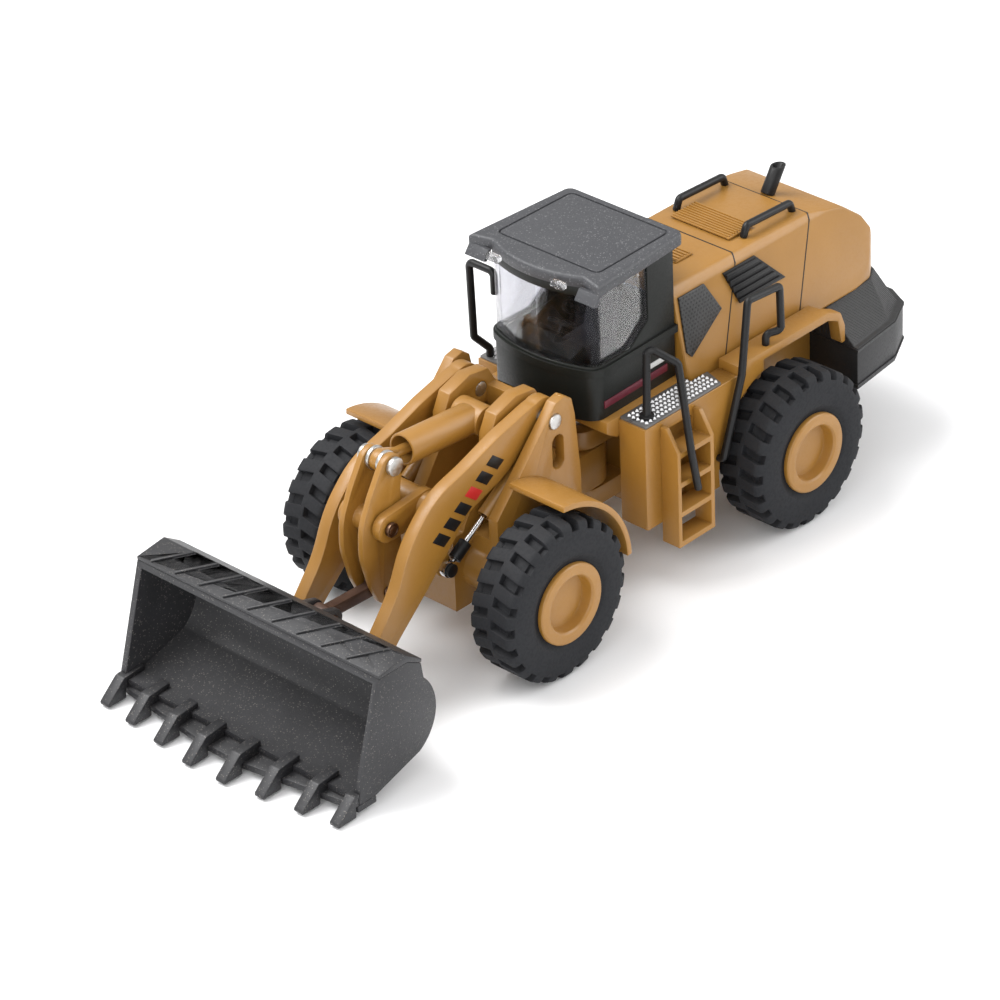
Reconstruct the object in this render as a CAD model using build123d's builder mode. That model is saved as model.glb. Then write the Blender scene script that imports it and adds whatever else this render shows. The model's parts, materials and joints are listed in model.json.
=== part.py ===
from build123d import *
import os
from math import atan2, cos, degrees, hypot, radians, sin, tan

# Toy articulated front loader, millimetres. +X points forward to the bucket, +Y to the driver's left,
# +Z up. The origin is on the ground, under the middle of the whole model.
os.makedirs("parts", exist_ok=True)

# ---- driving dimensions -------------------------------------------------------------------------------
wheelbase = 73.0  # between the two axles
tooth_reach = 70.0  # front axle to the middle tooth tips
tail_overhang = 45.5  # rear axle to the back of the counterweight
track = 51.4  # between the middle planes of left and right tyres
tyre_radius = 17.0
tyre_width = 11.5
rim_radius = 8.2  # bead seat
axle_radius = 1.5
running_clearance = 0.05  # shafts and pins that turn in a bore
bucket_width = 65.4
roof_top = 70.6  # ground to the top of the cab roof
hood_top = 57.0  # ground to the top of the hood
hood_half_width = 17.0  # at the foot of the hood
cab_half_width = 14.0
belly = 9.0  # ground clearance under both frames

front_x = (tooth_reach + wheelbase + tail_overhang) / 2 - tooth_reach
rear_x = front_x - wheelbase
hinge_x = (front_x + rear_x) / 2
bucket_x = front_x + tooth_reach
half_track = track / 2
hinge_to_axle = wheelbase / 2

# ---- loader linkage: pivots as (forward of the front axle, up from the ground) ---------------------------
arm_pivot = (-15.0, 44.8)
lift_base = (-13.5, 38.6)
lift_eye = (12.1, 22.5)
tilt_base = (-7.7, 43.8)
tilt_eye = (18.3, 46.0)
crank_pivot = (22.2, 34.5)
crank_foot = (21.5, 19.0)
cross_tube_at = (12.0, 35.0)
bucket_pivot = (tooth_reach - 35.0, 9.0)
link_lug = (tooth_reach - 33.8, 19.6)

arm_inner = 8.75  # inner face of a lift arm, from the middle plane
arm_thickness = 3.0
arm_outer = arm_inner + arm_thickness
arm_pin_radius = 1.6
small_pin_radius = 0.9
link_pin_radius = 1.0
inner_plate = (4.7, 7.8)  # inner and outer faces of the plates inside the arms
tower_plate = (12.4, 14.9)  # inner and outer faces of the plates outside the arms
crank_plate = (1.9, 3.3)
crank_lug = (3.6, 5.6)
eye_half_width = 1.6  # of the link's eyes between the crank's plates
tilt_eye_half_width = 0.9  # of the tilt rod's eye, between the collars of its pin
tilt_collar_radius = 2.5
tilt_head_radius = 1.95
tilt_head_thickness = 1.1
side_play = 0.05  # between a collar or head and the plate beside it
cylinder_y = 10.5  # middle plane of a lift cylinder
tilt_barrel_radius = 3.3
tilt_bore_radius = 2.75
tilt_rod_radius = 1.1
tilt_gap = 6.0  # from the barrel's mouth to the rod eye's pin, at rest
lift_barrel_radius = 1.55
lift_bore_radius = 1.2
lift_rod_radius = 0.65


# ---- helpers ----------------------------------------------------------------------------------------------
def side_plane(x, y):
    """Sketch plane facing sideways at (x, y): local x is forward, local y is up, it extrudes towards -Y."""
    return Plane(origin=(x, y, 0), x_dir=(1, 0, 0), z_dir=(0, -1, 0))


def level_plane(x, z):
    """Sketch plane facing up at height z, with its origin at x on the middle plane."""
    return Plane(origin=(x, 0, z))


def cross_plane(x):
    """Sketch plane facing forward at x: local x is to the left, local y is up."""
    return Plane(origin=(x, 0, 0), x_dir=(0, 1, 0), z_dir=(1, 0, 0))


def smooth_radii(outline, largest):
    """Radius for each corner of a closed outline: as large as its two sides allow, up to a limit."""
    radii = []
    for index, corner in enumerate(outline):
        before, after = outline[index - 1], outline[(index + 1) % len(outline)]
        into = (corner[0] - before[0], corner[1] - before[1])
        out_of = (after[0] - corner[0], after[1] - corner[1])
        turn = abs(atan2(into[0] * out_of[1] - into[1] * out_of[0], into[0] * out_of[0] + into[1] * out_of[1]))
        shorter = min(hypot(*into), hypot(*out_of))
        radii.append(min(largest, 0.45 * shorter / tan(turn / 2)))
    return radii


def smooth_outline(outline, largest):
    """Closed line through an outline's sides, with an arc at each corner."""
    radii = smooth_radii(outline, largest)
    with BuildLine() as line:
        FilletPolyline(*outline, radius=radii, close=True)
    return line.line


def side_plate(x, outline, y_range, hole_at=(), largest_arc=0.0):
    """Flat plate with a side outline, between two distances from the middle plane, with round holes."""
    with BuildPart() as plate:
        with BuildSketch(side_plane(x, y_range[1])):
            with BuildLine():
                if largest_arc:
                    add(smooth_outline(outline, largest_arc))
                else:
                    Polyline(*outline, close=True)
            make_face()
            for centre, radius in hole_at:
                with Locations(centre):
                    Circle(radius, mode=Mode.SUBTRACT)
        extrude(amount=y_range[1] - y_range[0])
    return plate.part


def cross_pin(x, centre, y_range, radius):
    """Round bar across the model, between two distances from the middle plane."""
    with BuildPart() as pin:
        with BuildSketch(side_plane(x, y_range[1])):
            with Locations(centre):
                Circle(radius)
        extrude(amount=y_range[1] - y_range[0])
    return pin.part


def link_plate(x, start, end, start_radius, end_radius, y_range):
    """Plate with a round end about each of two pivots."""
    with BuildPart() as plate:
        with BuildSketch(side_plane(x, y_range[1])):
            with Locations(start):
                Circle(start_radius)
            with Locations(end):
                Circle(end_radius)
            make_hull()
        extrude(amount=y_range[1] - y_range[0])
    return plate.part


def bar_between(x, y, start, end, radius, from_start, to_end):
    """Round bar along the line of two pivots, from a distance past the first to one short of the last."""
    length = hypot(end[0] - start[0], end[1] - start[1])
    along = ((end[0] - start[0]) / length, (end[1] - start[1]) / length)
    foot = (x + start[0] + along[0] * from_start, y, start[1] + along[1] * from_start)
    with BuildPart() as bar:
        with BuildSketch(Plane(origin=foot, x_dir=(0, 1, 0), z_dir=(along[0], 0, along[1]))):
            Circle(radius)
        extrude(amount=length - from_start - to_end)
    return bar.part


def bent_tube(points, radius, bend):
    """Round tube along a route with the same bend radius at each corner."""
    with BuildPart() as tube:
        with BuildLine() as route:
            FilletPolyline(*points, radius=bend)
        with BuildSketch(Plane(origin=route.line @ 0, z_dir=route.line % 0)):
            Circle(radius)
        sweep()
    return tube.part


def box_between(x_range, y_range, z_range):
    """Box between pairs of planes."""
    with BuildPart() as block:
        with BuildSketch(Plane.XY.offset(z_range[0])):
            with Locations(((x_range[0] + x_range[1]) / 2, (y_range[0] + y_range[1]) / 2)):
                Rectangle(x_range[1] - x_range[0], y_range[1] - y_range[0])
        extrude(amount=z_range[1] - z_range[0])
    return block.part


def both_sides(shape):
    """The shape and its mirror image in the middle plane."""
    return [shape, shape.mirror(Plane.XZ)]


# ---- wheels -----------------------------------------------------------------------------------------------
lug_count = 28
lug_depth = 1.3
lug_gap = 1.5  # width of the slot between two lugs
shoulder_slot = 3.4  # reach of a shoulder slot into the tread
middle_slot = 2.6  # length of a slot in the middle of the tread
sidewall_inset = 0.6
rim_flange = 0.4  # how far the rim's flange overlaps the sidewall
rim_proud = 0.6
rim_dish_radius = 5.9
rim_dish_depth = 2.6
tunnel_end = 18.2  # outer end of the axle tunnels, from the middle plane
half_width = tyre_width / 2

with BuildPart() as tyre_shape:
    with BuildSketch(Plane.XY):
        with BuildLine():
            Polyline(
                (rim_radius, -half_width + sidewall_inset),
                (rim_radius, half_width - sidewall_inset),
                (rim_radius + 1.2, half_width - sidewall_inset),
                (rim_radius + 3.0, half_width),
                (tyre_radius - 2.2, half_width),
                (tyre_radius - 0.5, half_width - 0.5),
                (tyre_radius, half_width - 1.2),
                (tyre_radius, -half_width + 1.2),
                (tyre_radius - 0.5, -half_width + 0.5),
                (tyre_radius - 2.2, -half_width),
                (rim_radius + 3.0, -half_width),
                (rim_radius + 1.2, -half_width + sidewall_inset),
                close=True,
            )
        make_face()
    revolve(axis=Axis.Y)
    for slot_top, slot_length, turn in (
        (half_width, shoulder_slot, 0),
        (-half_width + shoulder_slot, shoulder_slot, 0),
        (middle_slot, middle_slot, 0.5),
        (0.0, middle_slot, 0.0),
    ):
        with BuildSketch(Plane(origin=(0, slot_top, 0), x_dir=(1, 0, 0), z_dir=(0, -1, 0))):
            with PolarLocations(tyre_radius, lug_count, start_angle=turn * 360 / lug_count):
                Rectangle(2 * lug_depth, lug_gap)
        extrude(amount=slot_length, mode=Mode.SUBTRACT)

with BuildPart() as rim_shape:
    with BuildSketch(Plane.XY):
        with BuildLine():
            Polyline(
                (0, -half_width + sidewall_inset - 1.2),
                (axle_radius + 1.6, -half_width + sidewall_inset - 1.2),
                (axle_radius + 1.6, -1.0),
                (rim_radius - 1.4, -1.0),
                (rim_radius - 1.4, -half_width + sidewall_inset),
                (rim_radius, -half_width + sidewall_inset),
                (rim_radius, half_width - sidewall_inset),
                (rim_radius + rim_flange, half_width - sidewall_inset),
                (rim_radius + rim_flange, half_width + rim_proud - 0.3),
                (rim_radius + rim_flange - 0.3, half_width + rim_proud),
                (rim_dish_radius + 0.4, half_width + rim_proud),
                (rim_dish_radius, half_width + rim_proud - 0.4),
                (rim_dish_radius - 0.3, half_width + rim_proud - rim_dish_depth),
                (0, half_width + rim_proud - rim_dish_depth),
                close=True,
            )
        make_face()
    revolve(axis=Axis.Y)
    axle_end = half_width + rim_proud - rim_dish_depth - 1.0
    with BuildSketch(Plane(origin=(0, axle_end, 0), x_dir=(1, 0, 0), z_dir=(0, -1, 0))):
        Circle(axle_radius)
    extrude(amount=2 * tyre_width, mode=Mode.SUBTRACT)

for end_name, axle_x in (("front", front_x), ("rear", rear_x)):
    with BuildPart() as axle:
        with BuildSketch(side_plane(axle_x, half_track + axle_end)):
            with Locations((0, tyre_radius)):
                Circle(axle_radius)
        extrude(amount=2 * (half_track + axle_end))
    axle.part.label = f"{end_name}_axle"
    export_step(axle.part, f"parts/{end_name}_axle.step")
    for side_name, side in (("left", 1), ("right", -1)):
        with BuildPart() as tyre:
            with Locations((axle_x, side * half_track, tyre_radius)):
                add(tyre_shape.part)
        tyre.part.label = f"{end_name}_{side_name}_tyre"
        export_step(tyre.part, f"parts/{end_name}_{side_name}_tyre.step")
        with BuildPart() as rim:
            with Locations((axle_x, side * half_track, tyre_radius)):
                add(rim_shape.part if side > 0 else rim_shape.part.mirror(Plane.XZ))
        rim.part.label = f"{end_name}_{side_name}_rim"
        export_step(rim.part, f"parts/{end_name}_{side_name}_rim.step")

# ---- rear frame ---------------------------------------------------------------------------------------------
chassis_half_width = 12.5
deck = 36.0  # top of the rear chassis, where the hood stands
hitch_radius = 6.0
hitch_pin_radius = 1.5
hitch_levels = (12.0, 16.2, 25.8, 30.0)  # bottom and top of the lower lug, then of the upper lug
tunnel_radius = 5.0
cab_back = hinge_x - 15.4
weight_front = rear_x - 21.5
weight_back = rear_x - tail_overhang
screw_radius = 1.2
screw_length = 6.0
screw_head_radius = 2.2

with BuildPart() as rear_chassis:
    add(box_between((weight_front, hinge_x - 22), (-chassis_half_width, chassis_half_width), (belly, deck)))
    add(box_between((hinge_x - 22, hinge_x - 8), (-chassis_half_width, chassis_half_width), (belly, 30.0)))
    for low, high in (hitch_levels[:2], hitch_levels[2:]):
        with BuildSketch(level_plane(hinge_x, low)):
            Circle(hitch_radius)
            with Locations((-5.0, 0)):
                Rectangle(10.0, 2 * hitch_radius)
            Circle(hitch_pin_radius, mode=Mode.SUBTRACT)
        extrude(amount=high - low)
    add(cross_pin(rear_x, (0, tyre_radius), (-tunnel_end, tunnel_end), tunnel_radius))
    with BuildSketch(side_plane(rear_x, tunnel_end)):
        with Locations((0, tyre_radius)):
            Circle(axle_radius + running_clearance)
    extrude(amount=2 * tunnel_end, mode=Mode.SUBTRACT)
    with BuildSketch(level_plane(hinge_x, belly)):
        with Locations((-14.0, 0), (weight_front - hinge_x + 6.0, 0)):
            Circle(screw_head_radius)
    extrude(amount=1.6, mode=Mode.SUBTRACT)
    with BuildSketch(level_plane(hinge_x, belly)):
        with Locations((-14.0, 0), (weight_front - hinge_x + 6.0, 0)):
            Circle(screw_radius)
    extrude(amount=1.6 + screw_length, mode=Mode.SUBTRACT)
rear_chassis.part.label = "rear_chassis"
export_step(rear_chassis.part, "parts/rear_chassis.step")

with BuildPart() as chassis_screws:
    with BuildSketch(level_plane(hinge_x, belly + 0.2)):
        with Locations((-14.0, 0), (weight_front - hinge_x + 6.0, 0)):
            Circle(screw_head_radius - 0.1)
            Rectangle(3.0, 0.6, mode=Mode.SUBTRACT)
            Rectangle(0.6, 3.0, mode=Mode.SUBTRACT)
    extrude(amount=0.7)
    with BuildSketch(level_plane(hinge_x, belly + 0.9)):
        with Locations((-14.0, 0), (weight_front - hinge_x + 6.0, 0)):
            Circle(screw_head_radius - 0.1)
    extrude(amount=0.7)
    with BuildSketch(level_plane(hinge_x, belly + 1.6)):
        with Locations((-14.0, 0), (weight_front - hinge_x + 6.0, 0)):
            Circle(screw_radius)
    extrude(amount=screw_length)
chassis_screws.part.label = "chassis_screws"
export_step(chassis_screws.part, "parts/chassis_screws.step")

with BuildPart() as hitch_pin:
    with BuildSketch(level_plane(hinge_x, hitch_levels[0])):
        Circle(hitch_pin_radius)
    extrude(amount=hitch_levels[3] - hitch_levels[0])
    with BuildSketch(level_plane(hinge_x, hitch_levels[3])):
        Circle(hitch_pin_radius + 1.3)
    extrude(amount=1.2)
hitch_pin.part.label = "hitch_pin"
export_step(hitch_pin.part, "parts/hitch_pin.step")

# counterweight: a broad band that tapers up to the foot of the hood
band_outline = [(-21.5, 25.2), (-35.5, 23.6), (-42.8, 19.8), (-tail_overhang, 14.5)]
top_outline = [(-21.5, hood_half_width), (-36.6, 16.2), (-40.6, 13.6), (-42.2, 9.5)]
band_levels = (19.5, 29.3)
with BuildPart() as counterweight:
    for outline, level in ((band_outline, band_levels[0]), (band_outline, band_levels[1])):
        with BuildSketch(level_plane(rear_x, level)):
            with BuildLine():
                Polyline(*outline, *[(x, -y) for x, y in reversed(outline)], close=True)
            make_face()
    loft(ruled=True)
    for outline, level, shrink in ((band_outline, band_levels[1], 0.9), (top_outline, deck, 0.0)):
        with BuildSketch(level_plane(rear_x, level)):
            with BuildLine():
                edge = [(x + (shrink if x < -21.5 else 0), y - shrink) for x, y in outline]
                Polyline(*edge, *[(x, -y) for x, y in reversed(edge)], close=True)
            make_face()
    loft(ruled=True)
counterweight.part.label = "counterweight"
export_step(counterweight.part, "parts/counterweight.step")

# hood: a hollow cover made from its three outlines
hood_wall = 1.2
hood_front = cab_back - 0.5
hood_rear = (-42.0, -40.6, -36.6, -31.5, -21.5)  # behind the rear axle, from the foot of the tail upwards


def hood_block(inset, drop):
    """The hood's outer shape, moved in by the wall on its sides and lowered on top."""
    with BuildPart() as block:
        with BuildSketch(side_plane(rear_x, 30)):
            with BuildLine():
                Polyline(
                    (hood_front - rear_x - inset, deck),
                    (hood_front - rear_x - inset, hood_top - inset),
                    (hood_rear[4], hood_top - 0.7 - inset),
                    (hood_rear[3], hood_top - 3.0 - inset),
                    (hood_rear[2] + inset, hood_top - 7.0 - inset),
                    (hood_rear[1] + inset, hood_top - 13.5),
                    (hood_rear[0] + inset, deck),
                    close=True,
                )
            make_face()
        extrude(amount=60)
        with BuildSketch(cross_plane(hood_front + 1)):
            with BuildLine():
                half = [
                    (hood_half_width - inset, deck),
                    (hood_half_width - 4.2 - inset, hood_top - 1.9 - inset),
                    (hood_half_width - 5.2 - inset, hood_top - 0.7 - inset),
                    (hood_half_width - 7.2 - inset, hood_top + 1 - inset),
                ]
                Polyline(*half, *[(-y, z) for y, z in reversed(half)], close=True)
            make_face()
        extrude(amount=-80, mode=Mode.INTERSECT)
        with BuildSketch(level_plane(rear_x, deck - drop)):
            with BuildLine():
                plan = [
                    (hood_front - rear_x + 5, hood_half_width - inset),
                    (hood_rear[4] - 9.0, hood_half_width - inset),
                    (hood_rear[2], hood_half_width - 1.0 - inset),
                    (hood_rear[1] + 0.4, hood_half_width - 3.6 - inset),
                    (hood_rear[0] - 0.4, hood_half_width - 8.0 - inset),
                ]
                Polyline(*plan, *[(x, -y) for x, y in reversed(plan)], close=True)
            make_face()
        extrude(amount=40, mode=Mode.INTERSECT)
    return block.part


with BuildPart() as engine_hood:
    add(hood_block(0, 0))
    add(hood_block(hood_wall, 0), mode=Mode.SUBTRACT)
engine_hood.part.label = "engine_hood"
export_step(engine_hood.part, "parts/engine_hood.step")

# things that stand on the hood
slat_count = 9
with BuildPart() as hood_louvres:
    with BuildSketch(level_plane(hinge_x, hood_top - 0.1)):
        with Locations((-42.3, 0)):
            Rectangle(7.6, 15.6)
        with Locations((-27.0, 0)):
            Rectangle(5.2, 12.0)
    extrude(amount=0.35)
    for x_mid, width, pitch, number in ((-42.3, 15.0, 0.82, slat_count), (-27.0, 11.4, 0.95, 5)):
        with BuildSketch(level_plane(hinge_x, hood_top + 0.25)):
            with Locations((x_mid, 0)):
                with GridLocations(pitch, width, number, 1):
                    Rectangle(pitch * 0.5, width)
        extrude(amount=0.35)
hood_louvres.part.label = "hood_louvres"
export_step(hood_louvres.part, "parts/hood_louvres.step")

rail_radius = 0.8
hood_rail_route = [
    (hinge_x - 41.6, 9.0, hood_top - 0.4),
    (hinge_x - 42.6, 9.0, hood_top + 2.0),
    (hinge_x - 56.0, 9.0, hood_top + 1.4),
    (hinge_x - 56.8, 9.0, hood_top - 1.0),
]
with BuildPart() as hood_rails:
    for shape in both_sides(bent_tube(hood_rail_route, rail_radius, 0.9)):
        add(shape)
    add(hood_block(0, 0), mode=Mode.SUBTRACT)
hood_rails.part.label = "hood_rails"
export_step(hood_rails.part, "parts/hood_rails.step")

stack_lean = 34.0
with BuildPart() as exhaust_stack:
    with BuildSketch(
        Plane(
            origin=(hinge_x - 59.5, 0, hood_top - 1.1),
            x_dir=(0, 1, 0),
            z_dir=(-sin(radians(stack_lean)), 0, cos(radians(stack_lean))),
        )
    ):
        Circle(1.5)
        Circle(1.0, mode=Mode.SUBTRACT)
    extrude(amount=9.0)
    with BuildSketch(Plane(origin=(hinge_x - 64.5, 0, hood_top + 4.2))):
        Rectangle(12, 6)
    extrude(amount=6, mode=Mode.SUBTRACT)
    add(hood_block(0, 0), mode=Mode.SUBTRACT)
exhaust_stack.part.label = "exhaust_stack"
export_step(exhaust_stack.part, "parts/exhaust_stack.step")

side_lean = atan2(4.2, hood_top - 1.9 - deck)  # lean of the hood's sides
side_face = Plane(
    origin=(hinge_x, hood_half_width, deck), x_dir=(-1, 0, 0), z_dir=(0, cos(side_lean), sin(side_lean))
)


def side_panel(outline, thickness):
    """Thin panel on each side of the hood; its outline is (behind the hitch, up the side)."""
    with BuildPart() as panel:
        with BuildSketch(side_face):
            with BuildLine():
                Polyline(*outline, close=True)
            make_face()
        extrude(amount=thickness)
    return both_sides(panel.part)


with BuildPart() as side_vents:
    for shape in side_panel([(30.4, 19.0), (40.0, 19.0), (47.6, 11.2), (33.4, 11.6)], 0.5):
        add(shape)
side_vents.part.label = "side_vents"
export_step(side_vents.part, "parts/side_vents.step")

with BuildPart() as side_grilles:
    for shape in side_panel([(17.0, 19.2), (24.6, 19.2), (28.2, 12.4), (17.6, 6.2), (16.4, 7.6)], 0.5):
        add(shape)
side_grilles.part.label = "side_grilles"
export_step(side_grilles.part, "parts/side_grilles.step")

# fenders, tanks, ladders and platforms of the rear half
shelf_top = 39.4
shelf_bottom = 37.4
shelf_edge = 22.5
tyre_room = tyre_radius + 1.6
tank_front = hinge_x + 4.0
tank_inner = 15.5
tank_back = hinge_x - 24.0
floor_level = 38.0

with BuildPart() as fender_left:
    with BuildSketch(cross_plane(tank_back)):
        with BuildLine():
            Polyline(
                (chassis_half_width, deck - 1.2),
                (hood_half_width + 1.2, deck - 1.2),
                (hood_half_width + 1.2, shelf_bottom),
                (shelf_edge, shelf_bottom),
                (shelf_edge, shelf_top),
                (hood_half_width + 0.2, shelf_top),
                (hood_half_width + 0.2, deck),
                (chassis_half_width, deck),
                close=True,
            )
        make_face()
    extrude(amount=-(tank_back - rear_x + 15.5))
    add(box_between((tank_back - 8, tank_back), (hood_half_width + 1.4, shelf_edge), (28, shelf_bottom)))
    with BuildSketch(side_plane(rear_x, shelf_edge)):
        with BuildLine():
            Polyline((-15.5, shelf_top), (-19.6, 37.6), (-20.9, 34.2), (-20.9, 30.4), (-19.7, 30.4),
                     (-18.6, 36.0), (-15.5, shelf_bottom), close=True)
        make_face()
    extrude(amount=3.0)
    with BuildSketch(side_plane(rear_x, 30)):
        with Locations((0, tyre_radius)):
            Circle(tyre_room)
    extrude(amount=30 - hood_half_width - 1.3, mode=Mode.SUBTRACT)
with BuildPart() as rear_fenders:
    for shape in both_sides(fender_left.part):
        add(shape)
rear_fenders.part.label = "rear_fenders"
export_step(rear_fenders.part, "parts/rear_fenders.step")

with BuildPart() as tank_left:
    add(box_between((tank_back, tank_front), (tank_inner, shelf_edge), (14.2, shelf_bottom)))
    with BuildSketch(side_plane(rear_x, 30)):
        with Locations((0, tyre_radius)):
            Circle(tyre_room)
    extrude(amount=30, mode=Mode.SUBTRACT)
    with BuildSketch(side_plane(hinge_x, shelf_edge)):
        with Locations((-5.8, 18.4), (-5.8, 25.4), (-5.8, 32.4)):
            Rectangle(8.2, 4.6)
    extrude(amount=2.6, mode=Mode.SUBTRACT)
    add(box_between((tank_back, hood_front + 0.2), (tank_inner, hood_half_width + 0.3), (deck - 0.3, floor_level)),
        mode=Mode.SUBTRACT)
with BuildPart() as side_tanks:
    for shape in both_sides(tank_left.part):
        add(shape)
side_tanks.part.label = "side_tanks"
export_step(side_tanks.part, "parts/side_tanks.step")

ladder_outer = 27.0
step_levels = (9.8, 16.6, 23.4, 30.2)
with BuildPart() as ladder_left:
    for x_start in (-11.2, -1.4):
        with BuildSketch(cross_plane(hinge_x + x_start)):
            with BuildLine():
                Polyline((shelf_edge, 36.4), (shelf_edge, step_levels[0]), (ladder_outer, step_levels[0]),
                         (ladder_outer, 31.6), (shelf_edge + 1.6, 36.4), close=True)
            make_face()
        extrude(amount=1.0)
    for level in step_levels:
        add(box_between((hinge_x - 11.2, hinge_x - 0.4), (shelf_edge, ladder_outer), (level, level + 1.2)))
with BuildPart() as ladders:
    for shape in both_sides(ladder_left.part):
        add(shape)
ladders.part.label = "ladders"
export_step(ladders.part, "parts/ladders.step")

with BuildPart() as cab_platform:
    with BuildSketch(side_plane(hinge_x, tank_inner)):
        with BuildLine():
            Polyline((7.4, floor_level), (hood_front - hinge_x + 0.1, floor_level),
                     (hood_front - hinge_x + 0.1, deck), (-21.9, deck), (-21.9, 30.0), (-9.0, 30.0), (-6.0, 33.6),
                     (4.6, 33.6), (7.4, 35.4), close=True)
        make_face()
    extrude(amount=2 * tank_inner)
cab_platform.part.label = "cab_platform"
export_step(cab_platform.part, "parts/cab_platform.step")

plate_thickness = 0.6
plate_rear_inner = max(hood_half_width + 0.3, tank_inner + 0.1)  # beside both the hood and the platform
with BuildPart() as plate_left:
    with BuildSketch(level_plane(hinge_x, shelf_bottom)):
        with BuildLine():
            Polyline((3.6, tank_inner + 0.1), (3.6, shelf_edge - 0.2), (-19.0, shelf_edge - 0.2),
                     (-20.6, plate_rear_inner), (hood_front - hinge_x + 0.2, plate_rear_inner),
                     (hood_front - hinge_x + 0.2, tank_inner + 0.1), close=True)
        make_face()
    extrude(amount=plate_thickness)
with BuildPart() as tread_plates:
    for shape in both_sides(plate_left.part):
        add(shape)
tread_plates.part.label = "tread_plates"
export_step(tread_plates.part, "parts/tread_plates.step")

# ---- cab ----------------------------------------------------------------------------------------------------
cab_wall = 1.3
sill = 49.2  # lower edge of the windows
lintel = 66.0  # upper edge of the windows
roof_bottom = roof_top - 2.4
pillar_front = -7.5  # front of the rear pillars, from the hitch


def cab_prism(inset, low, high):
    """Upright block with the cab's plan outline, moved in by an inset."""
    with BuildPart() as block:
        with BuildSketch(level_plane(hinge_x, low)) as plan:
            with BuildLine():
                half_back = cab_half_width - 0.5 - inset
                half_front = cab_half_width - inset
                Polyline((8.2 - inset, -half_front), (-15.4 + inset, -half_back), (-15.4 + inset, half_back),
                         (8.2 - inset, half_front))
                ThreePointArc((8.2 - inset, half_front), (11.6 - inset, 0), (8.2 - inset, -half_front))
            make_face()
            fillet(plan.vertices().group_by(Axis.X)[-1], 3.6 - inset)
        extrude(amount=high - low)
    return block.part


with BuildPart() as cab_base:
    add(cab_prism(0, floor_level, sill))
    add(cab_prism(cab_wall, floor_level + 1.6, sill), mode=Mode.SUBTRACT)
cab_base.part.label = "cab_base"
export_step(cab_base.part, "parts/cab_base.step")

with BuildPart() as cab_frame:
    add(cab_prism(0, sill, roof_bottom))
    add(cab_prism(cab_wall, sill, roof_bottom), mode=Mode.SUBTRACT)
    with BuildSketch(side_plane(hinge_x, 30)):
        with BuildLine():
            Polyline((20, sill + 1.0), (-2.0, sill + 1.0), (pillar_front, sill + 5.0), (pillar_front, lintel),
                     (20, lintel), close=True)
        make_face()
    extrude(amount=60, mode=Mode.SUBTRACT)
    with BuildSketch(cross_plane(hinge_x - 16)):
        with Locations((0, 60.0)):
            RectangleRounded(17.0, 10.0, 1.5)
    extrude(amount=5, mode=Mode.SUBTRACT)
cab_frame.part.label = "cab_frame"
export_step(cab_frame.part, "parts/cab_frame.step")

with BuildPart() as cab_windows:
    add(cab_prism(0.25, sill + 1.0, lintel))
    add(cab_prism(1.05, sill + 1.0, lintel), mode=Mode.SUBTRACT)
    with BuildSketch(side_plane(hinge_x, 30)):
        with BuildLine():
            Polyline((20, sill + 1.0), (-2.0, sill + 1.0), (pillar_front, sill + 5.0), (pillar_front, lintel),
                     (20, lintel), close=True)
        make_face()
    extrude(amount=60, mode=Mode.INTERSECT)
    with BuildSketch(cross_plane(cab_back + 0.3)):
        with Locations((0, 60.0)):
            RectangleRounded(16.9, 9.9, 1.45)
    extrude(amount=0.7)
cab_windows.part.label = "cab_windows"
export_step(cab_windows.part, "parts/cab_windows.step")

with BuildPart() as cab_roof:
    with BuildSketch(level_plane(hinge_x, roof_bottom)) as roof_plan:
        with BuildLine():
            Polyline((9.2, -12.0), (10.4, -17.2), (-17.0, -15.3), (-17.0, 15.3), (10.4, 17.2), (9.2, 12.0))
            ThreePointArc((9.2, 12.0), (12.2, 0), (9.2, -12.0))
        make_face()
        fillet(roof_plan.vertices().group_by(Axis.X)[0], 2.0)
    extrude(amount=roof_top - roof_bottom)
    fillet(cab_roof.faces().sort_by(Axis.Z)[-1].edges(), 0.8)
    with BuildSketch(level_plane(hinge_x, roof_top - 0.4)) as roof_groove:
        with BuildLine():
            Polyline((6.6, -13.6), (-15.2, -13.2), (-15.2, 13.2), (6.6, 13.6), close=True)
        make_face()
        fillet(roof_groove.vertices(), 1.6)
        offset(amount=-0.5, mode=Mode.SUBTRACT)
    extrude(amount=1, mode=Mode.SUBTRACT)
    for side in (1, -1):
        with BuildSketch(side_plane(hinge_x, side * 14.6 + 2.6)):
            with BuildLine():
                Polyline((9.6, roof_bottom + 0.4), (10.3, roof_bottom + 0.4), (11.8, roof_bottom - 1.6),
                         (10.9, roof_bottom - 1.9), (9.6, roof_bottom), close=True)
            make_face()
        extrude(amount=5.2)
cab_roof.part.label = "cab_roof"
export_step(cab_roof.part, "parts/cab_roof.step")

with BuildPart() as roof_lamps:
    for side in (1, -1):
        with BuildSketch(cross_plane(hinge_x + 11.9)):
            with Locations((side * 8.6, roof_bottom + 0.9)):
                RectangleRounded(3.4, 1.5, 0.5)
        extrude(amount=1.2)
roof_lamps.part.label = "roof_lamps"
export_step(roof_lamps.part, "parts/roof_lamps.step")

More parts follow.
